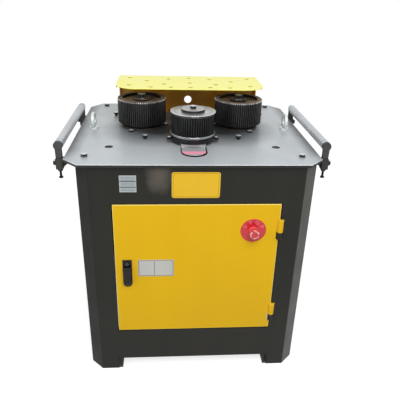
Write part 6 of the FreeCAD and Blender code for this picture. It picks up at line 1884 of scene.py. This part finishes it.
@dataclass
class PressRoller(Assembly):
    """The pressing roller on its slide, with the feed screw that moves it."""

    centre_y: float = -0.1384
    flutes: int = 56
    flute_depth: float = 0.0035
    profile: Profile = (
        (24, 0, 909.5), (72.5, 0, 909.5), (76, 1, 909.5), (76.5, 1, 910), (76.5, 1, 978.5), (76, 1, 979),
        (72.5, 0, 979), (24, 0, 979), (24, 0, 909.5),
    )
    middle_z: float = 0.944
    flange_side: Pair = (0.9797, 0.9843)
    neck_from: float = 0.8695
    nose_side: Pair = (0.8595, 0.8685)
    cap_from: float = 0.9851
    cap_top: float = 0.9932
    bolt_from: float = 0.9942
    bolt_width: float = 0.05

    def build(self) -> None:
        """Make the roller, its flanges, axle, slide and feed."""
        centre = (0.0, self.centre_y, 0.0)
        mesh = fluted(self.profile, self.flutes, self.flute_depth, centre, PRESS_STEEL)
        self.place("press_roller_body", mesh, "press_roller", PRESS_STEEL)
        flange = TurnedFinish(
            "flange_turned_steel", "bright_steel", tone(216, 216, 214), tone(120, 120, 122),
            rough=(0.16, 0.34), amount=0.8, metal=0.8, centre=centre, edge=tone(240, 240, 238), wear=0.9,
        )
        cap = TurnedFinish(
            "axle_cap_steel", "bright_steel", tone(190, 188, 186), tone(140, 140, 138),
            rough=(0.3, 0.45), metal=0.6, centre=centre,
        )
        disc = TurnedFinish(
            "base_disc_black", "black_oxide", tone(38, 38, 40), tone(22, 22, 24),
            rough=(0.26, 0.42), metal=0.7, centre=centre, edge=tone(120, 120, 122), wear=0.5,
        )
        # A darker copy of the flange steel for the lower flange, which is painted shade under the roller.
        lower = replace(flange, name="low_flange_steel_painted_shade", colour=tone(150, 152, 154), dark=tone(84, 85, 88))
        # Black oxide on the upper flange's side, which is painted shade.
        flanges = (flange, lower, OXIDE_STEEL)
        self.dress("press_roller_flanges", *flanges, edgings=rounding(0.6), pick=self.flange_part)
        self.dress("press_axle", cap, BOLT_STEEL, SHAFT_STEEL, OXIDE_STEEL, pick=self.part)
        self.dress("press_base_disc", disc, keep=self.wide, name="press_base_disc_body")
        head = Fastener(((0, 0, 0), *hex_head(13, 5.3)), BOLT_STEEL, seed=6)
        packed = Workshop.solids("press_base_disc")
        bolts = [solid for solid in packed if not self.wide(solid.low, solid.high)]
        seats = [Vector((solid.middle.x, solid.middle.y, solid.low.z)) for solid in bolts]
        self.fasten("press_ear_bolts", "press_base_disc", head, seats, (0, 0, 1))
        self.dress("press_slide", SLIDE_STEEL, OXIDE_STEEL, pick=self.dark)
        self.dress("slide_rails", OXIDE_STEEL)
        self.dress("feed_screw", SCREW_STEEL)
        self.dress("feed_screw_bearing", IRON)
        self.dress("feed_motor", MOTOR_PAINT)

    def wide(self, low: Vector, high: Vector) -> bool:
        """Say whether a solid is the base disc and not one of its bolts."""
        return high.x - low.x > self.bolt_width

    def flange_part(self, middle: Vector) -> int:
        """Tell the upper flange, the lower one and the upper one's side apart by height. The lower one is a
        darker copy as painted shade, and the side is black as painted shade.
        """
        low, high = self.flange_side
        if low < middle.z < high:
            return 2
        return int(middle.z < self.middle_z)

    def dark(self, middle: Vector) -> int:
        """Return 1 on the slide's neck, black as painted shadow under the disc, and on the sides of its nose.
        """
        low, high = self.nose_side
        return int(middle.z > self.neck_from or low < middle.z < high)

    def part(self, middle: Vector) -> int:
        """Tell the cap's top, the bolt, the axle and the cap's side apart by height; the cap's side is black
        as painted shade.
        """
        if middle.z > self.bolt_from:
            return 1
        if middle.z > self.cap_top:
            return 0
        return 3 if middle.z > self.cap_from else 2


@dataclass
class Drive(Assembly):
    """Motor and gear reducer on their shelf."""

    def build(self) -> None:
        """Make the shelf and the two machines."""
        self.dress("drive_shelf", FRAME_PAINT)
        self.dress("gear_reducer", MOTOR_PAINT)
        self.dress("drive_motor", MOTOR_PAINT, edgings=rounding(0.4))


@dataclass
class Electrics(Assembly):
    """Mounting plate with its terminal block and switching modules."""

    plate_front: float = -0.3769
    block_face: float = -0.342
    module_face: float = -0.290
    step: float = 0.012
    per_side: int = 9
    levels: Pair = (0.2775, 0.2925)
    modules: tuple[float, ...] = (-0.090, -0.030, 0.030, 0.090)
    shifts: Triple = (-0.014, 0.0, 0.014)
    module_levels: Pair = (0.389, 0.445)

    def build(self) -> None:
        """Make the panel and the screws of its terminals."""
        self.dress("electrical_panel", PANEL_GREY, CONTACTOR_PLASTIC, pick=self.before_plate)
        profile = (
            (0, 0, -1), (2.8, 0, -1), (2.8, 0, 0.7), (2.3, 0, 1.1), (1.3, 1, 1.1), (1.2, 1, 0.2), (0, 0, 0.2),
        )
        screw = Fastener(profile, ZINC_STEEL, seed=21, sides=12)
        rows = [number * self.step for number in range(-self.per_side, self.per_side + 1)]
        seats = [Vector((self.block_face, y, z)) for y in rows for z in self.levels]
        self.fasten("terminal_screws", "electrical_panel", screw, seats, (1, 0, 0))
        seats = [
            Vector((self.module_face, y + shift, z))
            for y in self.modules for shift in self.shifts for z in self.module_levels
        ]
        self.fasten("module_screws", "electrical_panel", screw, seats, (1, 0, 0))

    def before_plate(self, middle: Vector) -> int:
        """Return 1 in front of the mounting plate."""
        return int(middle.x > self.plate_front)


@dataclass
class Supports(Assembly):
    """Side rollers on their arms, with sockets, lock bolts and jack screws."""

    side_x: float = 0.450
    rows: tuple[tuple[str, float], ...] = (("front", -0.289), ("rear", 0.211))
    lock_seat: float = 0.4639
    lock_z: float = 0.846
    jack_seat: float = 0.796
    jack_top: float = 0.8268

    def build(self) -> None:
        """Make the sockets, then both sides."""
        arm = (Edging(width=1.8 * MM, shortest=6 * MM, turn=(60.0, 120.0)), Edging(width=0.6 * MM))
        socket = Edging(width=0.6 * MM, shortest=4 * MM, clamp=True)
        self.dress("support_sockets", FRAME_PAINT, edgings=(socket,))
        head = (*shank(5, -7.65, 0, 1.5), *hex_head(17, 6.4))
        for side, sign in (("left", -1), ("right", 1)):
            self.dress("support_arms_" + side, ARM_PAINT, edgings=arm)
            self.dress("support_roller_" + side, TUBE_STEEL)
            seats = [Vector((sign * self.lock_seat, y, self.lock_z)) for _, y in self.rows]
            kind = Fastener(head, BOLT_STEEL, seed=14 + sign)
            self.fasten("support_lock_bolts_" + side, "support_lock_bolts", kind, seats, (sign, 0, 0))
            for row, y in self.rows:
                self.jack(f"jack_screw_{row}_{side}", sign * self.side_x, y)

    def jack(self, node: str, x: float, y: float) -> None:
        """Make one jack screw as a head and a thread.

        Args:
            node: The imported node.
            x: Where its axis stands from left to right.
            y: Where it stands from front to rear.
        """
        seat = Vector((x, y, self.jack_seat))
        head = Fastener(((0, 0, 0), *hex_head(13, 5.3)), OXIDE_STEEL, spin=0.0)
        self.fasten(node + "_head", node, head, [seat], (0, 0, -1))
        length = self.jack_top - self.jack_seat
        values = {"Radius": 4 * MM, "Thread Depth": 0.6 * MM, "Pitch": 1.25 * MM, "Length": length}
        source = Workshop.points([seat], [(0, 0, 1)])
        mesh = Trees.get(ThreadTree, "thread").make(source, OXIDE_STEEL, values)
        self.place(node + "_thread", mesh, node, OXIDE_STEEL)


@dataclass
class Door(Assembly):
    """Folded door with its hinges, swing-handle lock, plate and stop button."""

    left: float = -0.2777
    right: float = 0.2977
    low: float = 0.191
    high: float = 0.723
    face: float = -0.364
    fold_width: float = 2.2 * MM
    stop: Pair = (0.206, 0.622)
    near: float = 1e-5
    ring_face: float = -0.366
    legend: str = "STOP"
    legend_radius: float = 0.0325
    legend_size: float = 0.0185
    legend_from: float = 153.0
    legend_step: float = -42.0
    legend_half: float = 0.12 * MM
    legend_bolder: float = 0.25 * MM
    legend_before: float = 0.10 * MM
    plate: PlateFinish = PlateFinish(
        "door_plate_white", "plate_white", tone(206, 206, 201), tone(184, 184, 178), ink=tone(46, 46, 48),
        rules=(
            *frame_lines(-0.1950, -0.0730, 0.4400, 0.5030, 1.6 * MM),
            Rule(True, -0.1395, 1.6 * MM, 0.4400, 0.5030),
        ),
    )

    def build(self) -> None:
        """Make the door and everything on it."""
        fold = Edging(width=self.fold_width, shortest=8 * MM, where=self.on_rim)
        self.dress("door_panel", DOOR_PAINT, edgings=(fold, Edging(width=0.4 * MM)))
        self.dress("hinge_door_halves", DOOR_PAINT)
        self.dress("hinge_frame_halves", CABINET_PAINT)
        self.dress("door_plate", self.plate, edgings=rounding(0.25))
        self.dress("lock_housing", BLACK_PLASTIC, edgings=rounding(0.8))
        self.dress("lock_spindle", ZINC_STEEL, BUTTON_PLASTIC, edgings=rounding(0.3), pick=self.outside)
        self.dress("lock_handle", BLACK_PLASTIC, edgings=rounding(0.8))
        self.dress("lock_button", BUTTON_PLASTIC, edgings=rounding(0.4))
        self.dress("stop_ring", RED_PLASTIC, edgings=rounding(0.5))
        # The body's collar in front of the door wears the painted highlight.
        self.dress("stop_body", BLACK_PLASTIC, COLLAR_PAINTED_HIGHLIGHT, pick=self.outside)
        self.dress("stop_plunger", ZINC_STEEL, edgings=rounding(0.3))
        head = HeadFinish("stop_head_red", "red_plastic", RED_PLASTIC, self.stop)
        self.dress("stop_head", head, edgings=rounding(0.4))
        self.letters()

    def on_rim(self, middle: Vector) -> bool:
        """Say whether an edge is one of the face's four outer folds."""
        sideways = min(abs(middle.x - self.left), abs(middle.x - self.right))
        upwards = min(abs(middle.z - self.low), abs(middle.z - self.high))
        return min(sideways, upwards) < self.near and abs(middle.y - self.face) < self.near

    def outside(self, middle: Vector) -> int:
        """Return 1 in front of the door's face."""
        return int(middle.y < self.face)

    def letters(self) -> None:
        """Print the switch's legend round its ring."""
        for number, letter in enumerate(self.legend):
            angle = math.radians(self.legend_from + number * self.legend_step)
            text = bpy.data.curves.new("legend", "FONT")
            text.body = letter
            text.size = self.legend_size
            text.align_x = "CENTER"
            text.align_y = "CENTER"
            text.extrude = self.legend_half
            text.offset = self.legend_bolder
            text.resolution_u = 4
            holder = bpy.data.objects.new("legend", text)
            bpy.context.scene.collection.objects.link(holder)
            graph = bpy.context.evaluated_depsgraph_get()
            mesh = bpy.data.meshes.new_from_object(holder.evaluated_get(graph))
            bpy.data.objects.remove(holder)
            bpy.data.curves.remove(text)
            Workshop.close(mesh)
            out = Vector((math.cos(angle), 0.0, math.sin(angle))) * self.legend_radius
            centre = Vector((self.stop[0], self.ring_face - self.legend_before, self.stop[1]))
            upright = Matrix.Rotation(math.radians(90), 4, "X")
            turned = Matrix.Rotation(angle - math.radians(90), 4, "Z")
            mesh.transform(Matrix.Translation(centre + out) @ upright @ turned)
            mesh.materials.clear()
            self.place(f"stop_legend_{letter}", mesh, "stop_ring", LEGEND_RED)


# Studio

@dataclass
class Lamp:
    """A soft rectangular lamp."""

    name: str
    place: Triple
    aim: Triple
    size: Pair
    watts: float

    def build(self) -> None:
        """Hang the lamp and turn it to its aim."""
        light = bpy.data.lights.new(self.name, "AREA")
        light.shape = "RECTANGLE"
        light.size, light.size_y = self.size
        light.energy = self.watts
        lamp = bpy.data.objects.new(self.name, light)
        lamp.location = self.place
        lamp.rotation_euler = (Vector(self.aim) - Vector(self.place)).to_track_quat("-Z", "Y").to_euler()
        bpy.context.scene.collection.objects.link(lamp)


@dataclass
class Studio:
    """White room with soft lamps and the photograph's camera."""

    eye: Triple = (-0.0975, -1.7906, 1.4273)
    yaw: float = 0.07967
    pitch: float = 0.44742
    roll: float = 0.03051
    lens: float = 42.577
    floor_half: float = 7.0
    floor_drop: float = 0.002
    floor_glow: float = 0.74
    sky: float = 0.5
    lamps: tuple[Lamp, ...] = (
        Lamp("key", (0.35, -2.4, 3.1), (0.0, 0.0, 0.7), (1.8, 1.8), 70.0),
        Lamp("fill", (-2.6, -1.6, 1.8), (0.0, 0.0, 0.6), (1.6, 1.6), 14.0),
    )

    def build(self) -> None:
        """Make the room, the lamps and the camera."""
        bpy.context.scene.view_settings.view_transform = "Standard"
        self.world()
        self.floor()
        for lamp in self.lamps:
            lamp.build()
        self.camera()

    @staticmethod
    def seen(graph: Graph) -> Socket:
        """Return 1 for rays that show the room itself: straight, mirrored or let through."""
        path = graph.add("ShaderNodeLightPath").outputs
        mirrored = graph.math("MAXIMUM", path["Is Glossy Ray"], path["Is Transmission Ray"])
        return graph.math("MAXIMUM", path["Is Camera Ray"], mirrored)

    def world(self) -> None:
        """White walls that light the object more softly than they look."""
        world = bpy.data.worlds.new("room")
        world.use_nodes = True
        bpy.context.scene.world = world
        graph = Graph(world.node_tree)
        strength = graph.span(self.seen(graph), 0.0, 1.0, self.sky, 1.0)
        background = world.node_tree.nodes["Background"]
        graph.feed(background.inputs["Color"], (1.0, 1.0, 1.0, 1.0))
        graph.feed(background.inputs["Strength"], strength)

    def floor(self) -> None:
        """Pale floor that shows white but for the shadow on it."""
        half = self.floor_half
        mesh = bpy.data.meshes.new("floor")
        corners = [(-half, -half, 0.0), (half, -half, 0.0), (half, half, 0.0), (-half, half, 0.0)]
        mesh.from_pydata(corners, [], [(0, 1, 2, 3)])
        material = bpy.data.materials.new("floor_white")
        material.use_nodes = True
        graph = Graph(material.node_tree)
        material.node_tree.nodes.remove(material.node_tree.nodes["Principled BSDF"])
        place = graph.add("ShaderNodeTexCoord").outputs["Object"]
        tint = graph.span(graph.noise(place, 3.0, 3.0), 0.3, 0.7, 0.29, 0.31)
        matt = graph.add("ShaderNodeBsdfDiffuse", {"Color": tint}).outputs[0]
        shown = graph.add("ShaderNodeBsdfDiffuse", {"Color": (0.5, 0.5, 0.5, 1.0)}).outputs[0]
        glow = graph.add("ShaderNodeEmission", {"Strength": self.floor_glow}).outputs[0]
        bright = graph.add("ShaderNodeAddShader", {0: shown, 1: glow}).outputs[0]
        mixed = graph.add("ShaderNodeMixShader", {0: self.seen(graph), 1: matt, 2: bright}).outputs[0]
        graph.feed(material.node_tree.nodes["Material Output"].inputs["Surface"], mixed)
        mesh.materials.append(material)
        floor = bpy.data.objects.new("floor", mesh)
        floor.location.z = -self.floor_drop
        bpy.context.scene.collection.objects.link(floor)

    def camera(self) -> None:
        """Stand where the photograph was taken."""
        level = math.cos(self.pitch)
        ahead = Vector((math.sin(self.yaw) * level, math.cos(self.yaw) * level, -math.sin(self.pitch)))
        right = ahead.cross(Vector((0.0, 0.0, 1.0))).normalized()
        above = right.cross(ahead)
        tilted = right * math.cos(self.roll) + above * math.sin(self.roll)
        upper = above * math.cos(self.roll) - right * math.sin(self.roll)
        turn = Matrix((tilted, upper, -ahead)).transposed().to_4x4()
        data = bpy.data.cameras.new("camera")
        data.lens = self.lens
        data.sensor_width = 36.0
        data.clip_start = 0.05
        data.clip_end = 100.0
        camera = bpy.data.objects.new("camera", data)
        camera.matrix_world = Matrix.Translation(self.eye) @ turn
        bpy.context.scene.collection.objects.link(camera)
        bpy.context.scene.camera = camera


def main() -> None:
    """Dress every sub-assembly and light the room."""
    logging.basicConfig(level=logging.INFO, format="%(name)s: %(message)s")
    for assembly in (
        Cabinet(), Table(), Guard(), DriveRollers(), PressRoller(), Drive(), Electrics(), Supports(), Door(),
    ):
        assembly.build()
    Studio().build()


if __name__ == "__main__":
    main()
